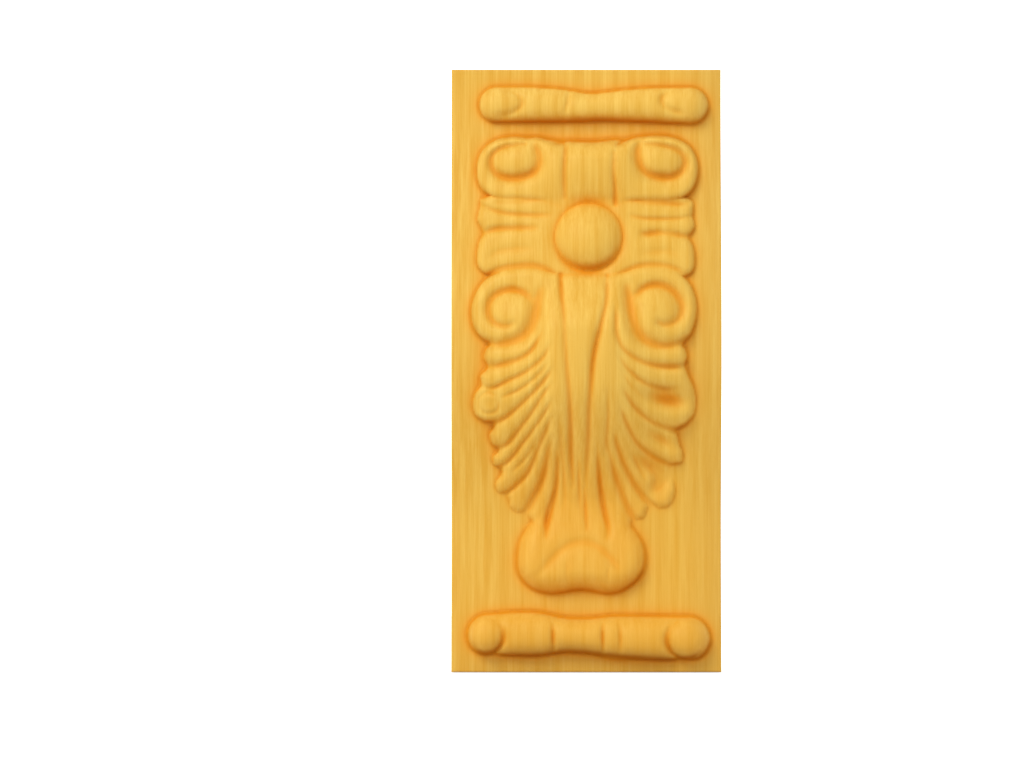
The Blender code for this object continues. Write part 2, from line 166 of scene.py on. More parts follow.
# Outlines of the carving: points across from the middle and up from the toe, in parts.
LEAF_OUTLINE = [
    (-8, 102.8), (-13, 103.8), (-17, 104.5), (-22, 104.3), (-27, 103.4), (-31.6, 101), (-35, 96.8),
    (-36.8, 91.6), (-36.4, 86.6), (-34.4, 82.7), (-32.2, 80.6), (-31.2, 79.8), (-31.8, 78.6), (-32.4, 76),
    (-31.8, 72.6), (-33.6, 70), (-33.8, 67), (-35.6, 64.4), (-36.4, 61), (-35.4, 57.4), (-32.4, 55.4),
    (-29.6, 54.4), (-30.8, 51.6), (-30.2, 48.6), (-28.4, 46.6), (-30, 44.6), (-29.6, 41.6), (-27.4, 39.8),
    (-29.4, 36.4), (-28.6, 33), (-25.6, 31), (-24.8, 28.4), (-22.4, 26.2), (-19, 24.8), (-16.6, 21.8),
    (-12, 15), (0, 12), (12, 15), (15.4, 22.6), (18.8, 24.6), (20.4, 27.8), (23.4, 27.4), (26.8, 28.6),
    (28.8, 32.6), (28.6, 36.8), (27.4, 39.8), (28.4, 41), (30.8, 42.4), (31, 46.2), (29.8, 49),
    (29.4, 52.4), (32.2, 54.2), (34.6, 57.6), (35.2, 62), (34.4, 66.4), (32.6, 70), (31.6, 73), (32, 76),
    (31.4, 78.4), (30.8, 79.6), (31.6, 80.6), (33.6, 83.4), (35.2, 88.6), (35.2, 93.6), (33.4, 98.6),
    (30, 102.4), (25.6, 104.3), (20, 104.9), (15.6, 104.6), (12, 103.6), (7, 102.8),
]
HEAD_OUTLINE = [
    (0, 120.6), (-6, 121), (-10, 122.4), (-16, 124.2), (-22, 124.8), (-27.4, 125), (-31.6, 126.8),
    (-34.2, 130), (-35.1, 134.6), (-34.4, 139), (-32, 142.6), (-28, 144.9), (-23, 145.6), (-18.6, 145.2),
    (-15.6, 145.4), (-12.4, 144.8), (-7.4, 144.3), (-3, 144.0), (0, 143.9), (4, 144.0), (8.4, 144.6),
    (13.4, 144.9), (16.6, 145.6), (19, 145.8), (24, 145.9), (29, 145), (33, 142.6), (35.2, 139),
    (35.8, 134.6), (34.6, 129.6), (31.4, 126), (26, 124.6), (19, 124.4), (14, 124), (10, 122.2),
    (6, 120.8),
]
FINGER_BED = [
    (-34, 126), (-34.4, 122.6), (-35, 119), (-33.6, 115.4), (-34.8, 111), (-35.2, 106), (-33.6, 102.6),
    (-30, 100.6), (-20, 99), (20, 99), (30, 100), (33.8, 102.4), (34.8, 106), (34.4, 110.4),
    (33.4, 113.6), (34.8, 117), (34.2, 120.6), (34, 125.4), (28, 127.6), (10, 127.6), (-10, 127.6),
    (-30, 127.8),
]
TOE_OUTLINE = [
    (-1, 2.1), (-4, 1.9), (-7, 1.3), (-11, 0.9), (-15, 1.6), (-18, 3.2), (-20.4, 6), (-21.6, 9.6),
    (-21.8, 14), (-21.2, 18.6), (-19.4, 22.4), (-16.6, 27), (-12, 36), (0, 44), (10, 36), (14.2, 25.4),
    (16.6, 20.4), (18.2, 17), (18.6, 13), (18, 9), (16, 5.4), (13, 2.8), (10, 1.3), (6, 0.9), (2, 1.7),
]
BALL_CENTRE = (0.6, 113.7)

# Cuts of the gouge: points along each, then half-widths and depths spread along it.
LEAF_CUTS = [
    # the valleys under the lower scrolls
    ([(-13.8, 98), (-15.2, 94.4), (-15.7, 90.4), (-16.8, 86), (-20, 82.2), (-25, 80.2), (-30.4, 80.0),
      (-34.6, 82.4)],
     (1.5, 2.4, 2.4, 1.7, 1.3), (0.6, 2.8, 4.2, 4.2, 3.8, 3.0, 2.4, 1.2)),
    ([(12.2, 99), (13.2, 95), (13.7, 91), (14.5, 87), (16.4, 83), (19.4, 80.4), (24, 79.3), (28.6, 80),
      (32.4, 82.4)],
     (1.3, 2.2, 2.3, 1.7, 1.3), (0.6, 2.8, 4.0, 4.0, 3.8, 3.2, 2.8, 2.4, 1.2)),
    # between the ribs at the left
    ([(-12.4, 88), (-14.6, 82.6), (-17.2, 78), (-20.4, 75.6), (-24.6, 74), (-29, 73), (-33, 73)],
     (0.8, 0.9, 1.0, 1.3, 1.3), (0.0, 0.7, 1.8, 1.6, 1.9, 2.4, 1.9)),
    ([(-11.2, 81), (-13.4, 76), (-16.6, 73), (-20, 70.6), (-24, 68.7), (-27, 67.2), (-29.6, 66.1),
      (-32.8, 66.8), (-34, 69)],
     (0.8, 0.9, 0.9, 0.9), (0.0, 0.9, 1.2, 1.2, 1.4, 1.5, 1.8, 1.4, 0.8)),
    ([(-11.4, 75.4), (-14, 71.6), (-17.2, 68.4), (-20.6, 66), (-24, 64.2), (-26.8, 63.2)], (0.7, 0.8, 0.7),
     (0.0, 0.8, 0.9, 1.1, 0.5)),
    ([(-10.6, 73), (-12.2, 70), (-14.6, 67), (-17.2, 64.2), (-20, 61.6), (-22.6, 59.2), (-25, 57.2),
      (-28, 55.6), (-31.6, 55)],
     (0.8, 1.0, 1.0, 1.1), (0.0, 1.2, 1.6, 1.5, 1.5, 1.6, 1.9, 2.2, 1.6)),
    ([(-10.6, 68.4), (-12.6, 65.6), (-14.6, 62.6), (-16.6, 59.4), (-19, 56), (-21.2, 53.2), (-23.4, 50.2),
      (-25.6, 48.1), (-28.4, 47)],
     (0.8, 0.9, 1.0, 1.0), (0.0, 1.1, 1.2, 1.4, 1.4, 1.5, 1.8, 1.8, 1.4)),
    ([(-10.6, 63), (-12.6, 59.4), (-15, 55.6), (-17.6, 52), (-19.8, 49.2), (-21.8, 46.4), (-23.6, 44.2),
      (-26, 42), (-28.6, 40.8)],
     (0.7, 0.8, 0.9, 1.0), (0.0, 0.9, 1.1, 1.1, 1.4, 1.5, 1.6, 1.6, 1.2)),
    ([(-14.6, 52), (-16.4, 48.2), (-18.6, 44.8), (-21, 42), (-23.4, 39.6)], (0.6, 0.7),
     (0.0, 0.7, 0.8, 0.4)),
    ([(-10.8, 58), (-12.4, 53.8), (-14.2, 49.6), (-15.8, 45.6), (-17.4, 41.6), (-19.2, 38.4), (-21.6, 36),
      (-24.4, 33.6), (-27.2, 32)],
     (0.8, 0.9, 1.0, 1.0), (0.0, 1.1, 1.4, 1.4, 1.5, 1.6, 1.6, 1.8, 1.4)),
    ([(-10.6, 51.6), (-11.8, 47.6), (-12.6, 43.4), (-13.2, 39.6), (-14.6, 35.4), (-16.4, 31.8),
      (-18.8, 27.4), (-21.4, 25.2)],
     (0.8, 1.2, 1.3, 1.2), (0.0, 1.2, 1.9, 2.3, 2.3, 2.2, 2.0, 1.1)),
    # the curled tip at the left
    ([(-28.4, 63.8), (-31.2, 64.8), (-33.6, 63.2), (-34.1, 60.6), (-32.7, 58.6), (-30.3, 58.0),
      (-28.1, 59.2), (-27.6, 61.2), (-28.8, 62.8)],
     (0.7, 0.8, 0.7), (0.7, 1.1, 1.1, 1.0, 0.9, 0.8, 0.4)),
    # between the ribs at the right
    ([(9, 93), (9.1, 88), (9.4, 83), (11.2, 78.8), (14, 76.2), (17.6, 74.3), (21.4, 73.2), (26, 72.8),
      (31, 73)],
     (0.8, 0.9, 1.0, 1.3, 1.3), (0.0, 1.4, 1.4, 1.2, 1.4, 1.6, 2.2, 2.6, 1.9)),
    ([(9.4, 78), (12, 73.2), (14.6, 70.4), (17.6, 68.1), (21, 66.6), (25, 65.8),
     (29.4, 66.2)], (0.8, 0.9, 1.1, 1.1), (0.0, 0.8, 1.2, 1.5, 1.5, 1.2, 0.4)),
    ([(10.6, 72.6), (13.4, 67.4), (16.8, 63.8), (20, 61.4)], (0.7, 0.8), (0.0, 0.7, 0.5, 0.1)),
    ([(11, 67), (13.4, 62.4), (15.6, 59.5), (18.4, 57), (21.4, 55), (24.6, 53.7), (28.4, 52.8),
      (31.8, 53.8), (34.6, 56.8)],
     (0.8, 0.9, 1.0, 1.2, 1.2), (0.0, 1.1, 1.5, 1.5, 1.5, 1.8, 2.6, 2.3, 1.4)),
    ([(10.2, 61), (12.2, 55.8), (14.2, 51.6), (16.2, 48.5), (18.8, 46.2), (21.4, 44.3), (24.4, 42.6),
      (28, 41.2), (31, 41.4)],
     (0.8, 0.9, 1.0, 1.2, 1.2), (0.0, 1.1, 1.4, 1.5, 1.8, 1.9, 2.2, 2.6, 2.0)),
    ([(14.2, 46), (16.4, 41.2), (18.4, 37.8), (19.8, 35.4)], (0.7, 0.8), (0.0, 0.9, 0.9, 0.0)),
    ([(8.6, 53), (9.6, 48), (11.2, 43.6), (13, 39.8), (15, 36), (17, 33), (19.2, 30.4), (21.6, 28.8)],
     (0.8, 1.1, 1.2, 1.1), (0.0, 1.4, 1.8, 2.0, 2.0, 2.0, 2.0, 1.6)),
    ([(6.2, 51), (7.5, 44.4), (8.8, 39.6), (10.2, 35.4), (11.8, 31.4), (13.4, 28), (14.8, 24.8),
      (15.8, 21.6)],
     (0.8, 1.1, 1.2, 1.0), (0.0, 0.9, 1.4, 1.9, 1.8, 1.6, 1.9, 0.8)),
]
STEM_CUTS = [
    ([(6.4, 102), (6.2, 94), (5, 88), (3.2, 81), (1.9, 74), (1.3, 67), (0.7, 60), (0.5, 52), (0.2, 44),
      (-0.2, 35)],
     (0.8, 1.0, 1.0, 0.8), (0.7, 1.4, 2.0, 2.1, 1.6, 1.6, 1.2, 0.4)),
    ([(-8.2, 102), (-7.8, 95), (-7.2, 88), (-6.8, 80), (-6.2, 72), (-5.5, 64), (-5.1, 56), (-4.9, 46),
      (-4.1, 34)],
     (0.8, 0.9, 1.1, 0.9), (1.6, 1.4, 0.9, 1.2, 1.6, 2.0, 1.8, 0.5)),
    ([(6.6, 68), (6.7, 58), (6.2, 50), (5.6, 44)], (0.8, 0.8), (0.0, 0.7, 1.0, 0.4)),
    ([(3.2, 50), (3.9, 40), (4.7, 33), (5.8, 27), (7.0, 21.6), (6.7, 18.2)], (0.8, 1.0),
     (0.0, 1.2, 2.0, 2.0, 1.6, 0.4)),
    ([(-9.2, 50), (-9.1, 42), (-9.5, 35), (-10.7, 30), (-12.1, 25), (-12.9, 18.6)], (0.8, 1.1),
     (0.0, 1.4, 1.8, 2.1, 2.9, 0.5)),
    ([(-8.6, 60), (-8.2, 50), (-7.4, 42), (-6.8, 33), (-7.2, 27)], (0.7, 0.8), (0.0, 0.9, 1.0, 0.1)),
    ([(-2.6, 48), (-2.3, 36), (-1.6, 26)], (0.6, 0.6), (0.0, 0.9, 0.1)),
    ([(-0.6, 35), (-0.3, 28), (0.1, 21)], (0.6, 0.6), (0.4, 0.9, 0.4)),
]
# Oval hollows: centre, long and short radius, turn in degrees, depth.
LEAF_DISHES = [
    ((25.0, 62.8), (6.2, 3.1), -12, 4.8),
    ((23.6, 50.0), (5.6, 2.4), -30, 2.3),
    ((21.0, 41.2), (6.8, 2.6), -34, 3.4),
    ((22.6, 35.6), (3.6, 2.6), 58, 2.4),
    ((-30.8, 61.4), (1.8, 1.6), 0, 0.5),
]
SCROLL_DISHES = [
    ((-23.4, 132.4), (7.5, 2.6), 4, 0.6),
    ((24.0, 132.2), (7.0, 2.6), -4, 0.8),
    ((-16.6, 138.2), (2.2, 5.0), 0, 0.6),
    ((17.4, 139.0), (2.2, 5.0), 0, 0.7),
    ((0.6, 124.6), (9.0, 2.4), 0, 0.9),
]
SCROLL_CUTS = [
    # round the lower eyes
    ([(-17.4, 93.4), (-19.4, 95.8), (-23.2, 97.0), (-27.4, 96.1), (-30.2, 93.6), (-31.0, 90.2),
      (-29.9, 87.4), (-27.4, 85.8), (-24.4, 85.5), (-22.6, 86.8)],
     (1.4, 1.4, 1.5, 1.4, 1.2), (1.4, 2.3, 2.6, 2.5, 2.4, 2.4, 2.2, 1.8, 1.1)),
    ([(15.2, 94.6), (17.4, 97.1), (20.6, 98.4), (24.4, 98.1), (27.6, 96.1), (29.6, 93), (29.8, 90),
      (28.6, 87.6), (26.4, 86.2), (23.6, 86), (22, 87.4)],
     (1.3, 1.4, 1.6, 1.7, 1.5, 1.2), (1.4, 2.2, 2.5, 2.5, 2.7, 2.7, 2.5, 2.2, 1.8, 1.3)),
    # round the upper eyes
    ([(-17, 143.8), (-15.2, 141), (-14.5, 137.8), (-15.6, 134.8), (-18.6, 132.9), (-22.6, 132.1),
      (-26.6, 132.7), (-29.3, 134.6), (-30.1, 137.6), (-29.1, 140.2), (-26.4, 141.9), (-22.4, 142.8),
      (-18.6, 143.2)],
     (1.4, 1.7, 1.6, 1.5, 1.4, 1.2, 1.0, 0.9), (2.0, 2.6, 2.9, 2.9, 2.7, 2.6, 2.5, 2.4, 2.2, 1.9, 1.9)),
    ([(17.6, 144.6), (16.1, 142), (15.9, 139), (16.9, 136), (19.2, 133.7), (22.4, 132.6), (26, 132.4),
      (29.2, 133.5), (30.9, 136), (30.9, 138.8), (29, 141.0), (25.6, 142.2), (21.6, 142.9), (18.4, 143.2)],
     (1.4, 1.8, 1.6, 1.6, 1.5, 1.4, 1.0, 0.9), (2.2, 3.0, 3.0, 2.8, 2.7, 2.7, 2.7, 2.5, 2.2, 1.9, 1.9)),
    # beside the shaft
    ([(-6.6, 142.6), (-6.9, 137), (-7.0, 131), (-6.8, 125.6)], (0.9, 0.8), (2.2, 1.5, 1.3, 0.7)),
    ([(8.8, 141), (8.5, 135), (9.0, 129), (9.1, 123.6)], (0.8, 0.8), (1.0, 1.1, 1.4, 1.5)),
    ([(-13, 144.6), (-9.6, 143.4), (-7.2, 143.3), (-6.4, 143.0)], (0.9, 1.0), (0.6, 1.2, 2.8, 2.8)),
    ([(9.4, 142.6), (11.2, 143.7), (13.6, 145.0)], (1.0, 0.8), (3.0, 3.0, 0.9)),
]
FINGER_CUTS = [
    ([(-12, 126.4), (-20, 124.7), (-29, 124.6)], (0.8, 0.8), (0.2, 0.5, 0.5)),
    ([(-11, 120.6), (-16, 120.5), (-22, 120.8), (-27, 121.4), (-31, 122.8), (-34, 124)], (0.9, 0.9),
     (0.4, 1.0, 1.2, 1.2, 1.1, 0.9)),
    ([(-15.4, 116.6), (-22, 116.4), (-28, 116.2), (-30.8, 115.4), (-34, 114)], (1.1, 1.2),
     (0.7, 1.5, 1.6, 1.9, 1.3)),
    ([(-17, 109.7), (-23, 109.7), (-28, 108.8), (-31, 106.4)], (1.5, 1.5), (0.4, 0.9, 0.9, 0.4)),
    ([(-9.6, 101.4), (-12.6, 103.6), (-16.6, 104.7), (-22, 104.5), (-27, 103.7), (-30.6, 101.8),
     (-33.4, 99.4)], (0.9, 1.1), (0.6, 1.0, 1.1, 1.1, 1.2, 1.6, 1.0)),
    ([(12.4, 126), (18, 124.7), (24, 124.4), (29.8, 124.1), (33, 125)], (1.0, 1.1),
     (0.4, 0.7, 1.1, 1.6, 1.1)),
    ([(13.4, 120.4), (18, 119.5), (24, 119.3), (29, 119.5), (34, 120.2)], (0.8, 0.8),
     (0.4, 1.0, 1.1, 0.9, 0.7)),
    ([(17, 114.6), (19.6, 114.6), (23, 115), (27, 114.6), (30.4, 114), (34, 113.2)], (1.2, 1.2),
     (0.9, 2.0, 1.3, 1.3, 1.9, 1.4)),
    ([(17, 108.6), (22, 108.8), (26, 109), (29, 107)], (1.5, 1.4), (0.4, 0.8, 0.7, 0.3)),
    ([(9.6, 101), (12.4, 103), (16, 104.4), (20, 105), (25.6, 104.5), (30, 102.6), (33, 99.8)], (0.9, 1.0),
     (0.6, 0.9, 1.0, 1.0, 1.0, 1.1, 0.8)),
]
TOE_CUTS = [
    # the crease that sets off a low dome
    ([(-17.6, 5.6), (-14.2, 8.4), (-10.4, 12.6), (-6.4, 16.2), (-2.4, 17.6), (2.2, 17), (6.2, 14.2),
      (9.4, 10.2), (11.4, 6.4)],
     (1.3, 1.6, 1.3), (0.0, 0.8, 1.1, 1.1, 1.1, 1.2, 1.1, 0.0)),
    # two short cuts on the dome
    ([(-6.2, 13.6), (-6.1, 9), (-6.2, 4)], (0.6, 0.6), (0.0, 0.4, 0.0)),
    ([(7.4, 12.4), (7.0, 8), (6.6, 4)], (0.6, 0.6), (0.0, 0.4, 0.0)),
]

# The crease round the ball, once round from straight up: half-widths and depths.
BALL_CREASE = (
    (1.6, 1.4, 1.3, 1.3, 1.4, 1.5, 1.4, 1.3, 1.3, 1.4, 1.6),
    (1.1, 0.8, 0.9, 1.1, 1.8, 2.3, 1.8, 0.8, 0.6, 0.7, 1.1),
)

# The rods: where the middle of each lies, the line of its crown, and its cuts, all in parts from
# its own middle line.
TOP_ROD_MIDDLE = 2.3
TOP_ROD_SPINE = [(-18, 0.3), (-7, -0.1), (0, -0.6), (7, -0.3), (18, 0.1)]
TOP_ROD_ENDS = (0.3, 0.0)
TOP_ROD_CUTS = [
    # the fold in each bulb
    ([(-26, 4.6), (-23, 4.0), (-20.8, 2.4), (-20.2, 0.6), (-21.2, -1.2), (-24, -2.6), (-28.6, -3.2)],
     (0.9, 1.1), (0.2, 0.8, 1.1, 1.2, 1.1, 0.9, 0.4)),
    ([(28, 4.6), (25.4, 4.0), (23.9, 2.6), (23.8, 0.9), (25.0, -0.6), (27.4, -1.8), (30.2, -2.6)],
     (0.9, 1.1), (0.2, 0.9, 1.5, 1.1, 0.9, 1.2, 1.0)),
    # the notch beside the waist, then the crease underneath
    ([(-5.2, 5.0), (-5.6, 2.0), (-6.1, -0.8), (-7.0, -2.8)], (0.8, 0.9), (0.9, 1.0, 0.8, 0.3)),
    ([(-31, -4.9), (-18, -5.2), (0, -5.0), (18, -5.4), (35, -5.2)],
     (1.0, 1.2, 1.0), (0.4, 1.1, 1.2, 1.1, 0.4)),
]
FOOT_ROD_MIDDLE = 0.6
FOOT_ROD_SPINE = [(-22, 0.9), (-11, 0.8), (-6, 0.6), (0, 0.3), (6, 0.0), (14, -0.3), (24, -0.5)]
FOOT_ROD_ENDS = (1.0, -0.4)
FOOT_ROD_CREASE = [
    ([(-32, -5.6), (-24, -5.9), (-12, -6.0), (0, -5.2), (12, -6.4), (24, -7.4), (34, -7.0)],
     (0.8, 0.9, 0.8), (0.8, 2.0, 2.2, 2.0, 2.4, 2.6, 0.8)),
]

# The balls in the ends of the lower rod: side, seat and how much larger each is cut. The fold
# runs round the ball's inner side, at a small gap, with half-widths and depths as above.
FOOT_BALLS = [(-1, (-31.4, 0.8), 0.0), (1, (31.2, -0.3), 0.6)]
FOOT_BALL_ROUNDNESS = 2.6
FOLD_GAP = 0.6
FOLD_TURNS = (-0.06, -0.58)
FOLD_CUT = ((1.0, 1.2), (0.1, 1.2, 2.4, 2.6, 1.2))

# The upright cuts of the lower rod: place and depth of each, and how all of them run.
UPRIGHT_CUTS = [(-10.6, 1.5), (5.0, 1.4), (10.5, 1.0)]
UPRIGHT_TOP = 4.6
UPRIGHT_FOOT = -4.4
UPRIGHT_LEAN = 0.2
UPRIGHT_WIDTH = 0.7


def ease(start, end, value):
    """A smooth step from 0 at start to 1 at end."""
    share = np.clip((value - start) / (end - start), 0.0, 1.0)
    return share * share * (3.0 - 2.0 * share)


def parts(length):
    """A length in metres as parts of the carving."""
    return length / PART


def block_thickness(level):
    """How thick the plain block is at a height above its underside."""
    swell = (BELLY_THICKNESS - TOP_THICKNESS) * ease(SWELL_LEVEL, BELLY_LEVEL, level)
    fall = (BELLY_THICKNESS - NECK_THICKNESS) * ease(BELLY_LEVEL, NECK_LEVEL, level)
    kick = (FOOT_THICKNESS - NECK_THICKNESS) * ease(NECK_LEVEL, 0.0, level)
    return TOP_THICKNESS + swell - fall + kick


def curve_through(points, steps=8):
    """A smooth line through a few points."""
    p = np.array(points, float)
    p = np.vstack([2 * p[0] - p[1], p, 2 * p[-1] - p[-2]])
    t = np.linspace(0.0, 1.0, steps, endpoint=False)[:, None]
    line = []
    for a, b, c, d in zip(p, p[1:], p[2:], p[3:]):
        bend = (2 * a - 5 * b + 4 * c - d) * t**2 + (3 * b - a - 3 * c + d) * t**3
        line.append(0.5 * (2 * b + (c - a) * t + bend))
    return np.vstack(line + [p[-2:-1]])


def arc(radius, start_turn, end_turn, steps=40):
    """Part of a circle; turns count from straight up, towards the right first."""
    angle = 2.0 * np.pi * np.linspace(start_turn, end_turn, steps)
    return radius * np.column_stack([np.sin(angle), np.cos(angle)])


def soft_max(a, b, fill):
    """The higher of two heights, with the valley between them filled a little."""
    share = np.clip(0.5 + 0.5 * (a - b) / fill, 0.0, 1.0)
    return b + (a - b) * share + fill * share * (1.0 - share)


def lengths_along(line):
    """How far along a line each of its points lies."""
    return np.concatenate([[0.0], np.cumsum(np.hypot(*np.diff(line, axis=0).T))])


def nearest(line, across, up):
    """The distance from each point to a line, and how far along the line that is, from 0 to 1."""
    starts = lengths_along(line)
    lengths = np.hypot(*np.diff(line, axis=0).T)
    distance = np.full(across.shape, np.inf)
    share = np.zeros(across.shape)
    for (ax, ay), (bx, by), start, length in zip(line, line[1:], starts, lengths):
        t = ((across - ax) * (bx - ax) + (up - ay) * (by - ay)) / length**2
        t = np.clip(t, 0.0, 1.0)
        d = np.hypot(across - ax - t * (bx - ax), up - ay - t * (by - ay))
        closer = d < distance
        distance = np.where(closer, d, distance)
        share = np.where(closer, (start + t * length) / starts[-1], share)
    return distance, share


def along(share, values):
    """Values spread evenly along a line and joined smoothly, read at a share of its length."""
    if len(values) > 2:
        values = curve_through(list(enumerate(values)))[:, 1]
    return np.interp(share, np.linspace(0.0, 1.0, len(values)), values)


def drop(distance, width, roundness, slope=WALL_SLOPE):
    """How far a rounded form falls below its crown: gently over its width, then as a wall."""
    t = np.minimum(distance / width, 1.0)
    return roundness * (0.6 * t**2 + 0.4 * t**4) + slope * np.maximum(distance - width, 0.0)


class Relief:
    """Heights above the block's front, in parts, over points across and up the carving."""

    def __init__(self, across, up):
        self.across = across
        self.up = up
        self.height = np.zeros_like(across)

    def near(self, line, reach):
        """The points in a box that reaches a little past a line."""
        low = line.min(axis=0) - reach
        high = line.max(axis=0) + reach
        beside = (self.across > low[0]) & (self.across < high[0])
        return beside & (self.up > low[1]) & (self.up < high[1])

    def raise_to(self, zone, top, fill):
        self.height[zone] = soft_max(self.height[zone], top, fill)

    def bead(self, line, widths, crest, roundness, fill):
        """A rounded ridge along a line."""
        zone = self.near(line, max(widths) + WALL_REACH)
        distance, share = nearest(line, self.across[zone], self.up[zone])
        self.raise_to(zone, crest[zone] - drop(distance, along(share, widths), roundness), fill)

    def slab(self, outline, crest, edge, fill=VALLEY_FILL, slope=WALL_SLOPE):
        """Everything inside a closed outline, rounded off over its edge."""
        line = curve_through(outline, 5)
        line = np.vstack([line, line[:1]])
        zone = self.near(line, WALL_REACH)
        across = self.across[zone]
        up = self.up[zone]
        distance, _ = nearest(line, across, up)
        inside = np.zeros(across.shape, bool)
        for (ax, ay), (bx, by) in zip(line, line[1:]):
            if ay != by:
                crossing = (bx - ax) * (up - ay) / (by - ay) + ax
                inside ^= ((ay > up) != (by > up)) & (across < crossing)
        width, roundness = edge
        outside = np.where(inside, -distance, distance)
        from_edge = np.maximum(outside + width + WALL_INSET, 0.0)
        self.raise_to(zone, crest[zone] - drop(from_edge, width, roundness, slope), fill)

    def boss(self, centre, radius, crest, roundness, fill):
        """A domed disc."""
        away = np.hypot(self.across - centre[0], self.up - centre[1])
        zone = away < radius + WALL_REACH
        self.raise_to(zone, crest[zone] - drop(away[zone], radius, roundness), fill)

    def groove(self, line, widths, depths):
        """A hollow drawn along a line like a stroke: a narrow cut inside a wide, shallow one."""
        zone = self.near(line, GROOVE_REACH * max(widths))
        across = self.across[zone]
        up = self.up[zone]
        ends = lengths_along(line)
        count = int(np.ceil(ends[-1] / (GROOVE_SPACING * min(widths))))
        length = ends[-1] / count
        share = (np.arange(count) + 0.5) / count
        xs = np.interp(share * ends[-1], ends, line[:, 0])
        ys = np.interp(share * ends[-1], ends, line[:, 1])
        cut = np.zeros(across.shape)
        for x, y, width, depth in zip(xs, ys, along(share, widths), along(share, depths)):
            away = ((across - x) ** 2 + (up - y) ** 2) / width**2
            cut += depth * length / width * (
                NARROW_SHARE * np.exp(-away)
                + (1.0 - NARROW_SHARE) / WIDE_REACH * np.exp(-away / WIDE_REACH**2)
            )
        self.height[zone] -= cut / np.sqrt(np.pi)

    def dish(self, centre, radii, turn, depth):
        """A shallow oval hollow, its long side turned from level by some degrees."""
        angle = np.radians(turn)
        x = self.across - centre[0]
        y = self.up - centre[1]
        along_it = (x * np.cos(angle) + y * np.sin(angle)) / radii[0]
        over_it = (y * np.cos(angle) - x * np.sin(angle)) / radii[1]
        self.height -= depth * np.exp(-(along_it**2) - over_it**2)

    def carve(self, cuts, dishes=()):
        """All cuts of a list in order, then the dishes."""
        for points, widths, depths in cuts:
            self.groove(curve_through(points), widths, depths)
        for centre, radii, turn, depth in dishes:
            self.dish(centre, radii, turn, depth)


def bowed(crest, edge, across):
    """A crest that falls from the middle to its edge height at both sides."""
    share = np.clip(np.abs(across) / SIDE_REACH, 0.0, SIDE_LIMIT)
    return crest + (edge - crest) * share**SIDE_POWER


def leaf_crest(across, up):
    """The leaf before it is cut: highest on the belly, low at the toe and the sides."""
    crest = parts(LEAF_PROUD) - parts(LEAF_PROUD - LEAF_TOP_PROUD) * ease(*LEAF_TOP_FALL, up)
    crest = crest - parts(LEAF_PROUD - LEAF_FOOT_PROUD) * ease(*LEAF_FOOT_FALL, up)
    crest = crest - LEAF_TOE_DROP * ease(*LEAF_TOE_FALL, up)
    rise = parts(LEAF_EDGE_PROUD - LEAF_LOW_EDGE_PROUD) * ease(*LEAF_EDGE_RISE, up)
    return bowed(crest, parts(LEAF_LOW_EDGE_PROUD) + rise, across)


def head_crest(across, up):
    """The height of the shaft and the upper scrolls before they are cut."""
    middle = 1.0 - SHAFT_SHARE + SHAFT_SHARE * np.exp(-((across / SHAFT_HALF_WIDTH) ** 2))
    crest = parts(HEAD_PROUD) - parts(HEAD_PROUD - HEAD_TOP_PROUD) * middle * ease(*HEAD_TOP_FALL, up)
    crest = crest - parts(HEAD_PROUD - HEAD_FOOT_PROUD) * ease(*HEAD_FOOT_FALL, up)
    edge = parts(HEAD_EDGE_PROUD) * (1.0 - HEAD_EDGE_DROP * ease(*HEAD_EDGE_FALL, up))
    return bowed(crest, edge, across)


def finger_crest(across):
    """The height of the fingers before they are cut: they lie a little below the ball's collar."""
    fall = parts(FINGER_PROUD - FINGER_EDGE_PROUD) * np.abs(across / FINGER_REACH) ** SIDE_POWER
    return parts(FINGER_PROUD) - fall - FINGER_SINK


def toe_crest(up):
    """The height of the leaf's rolled end before it is cut."""
    rise = (parts(TOE_PROUD) + TOE_SUNK) * ease(*TOE_RISE, up)
    return rise - TOE_SUNK - TOE_TIP_DROP * ease(*TOE_TIP_FALL, up)


def carve_ball(relief):
    """A ball in a flat collar, creased most deeply underneath."""
    radius = parts(BALL_RADIUS)
    away = np.hypot(relief.across - BALL_CENTRE[0], relief.up - BALL_CENTRE[1])
    seat = parts(BALL_SEAT)
    rise = parts(BALL_PROUD) - seat
    bend = (radius**2 + rise**2) / (2.0 * rise)
    dome = seat + np.sqrt(bend**2 - np.minimum(away, radius) ** 2) - bend + rise
    dome -= WALL_SLOPE * np.maximum(away - radius, 0.0)
    relief.height = soft_max(relief.height, dome, BALL_FILL)
    relief.groove(arc(radius, 0.0, 1.0, steps=80) + BALL_CENTRE, *BALL_CREASE)


def carve_rod(across, up, ends, between, widths, proud):
    """A rod across the face: a bead along its own line, from one end over the points between."""
    relief = Relief(across, up)
    spine = [ends[0], *between, ends[1]]
    inner = [width - 0.5 * WALL_INSET for width in widths]
    relief.bead(curve_through(spine), inner, np.full_like(up, proud), 0.5 * proud, ROD_FILL)
    return relief


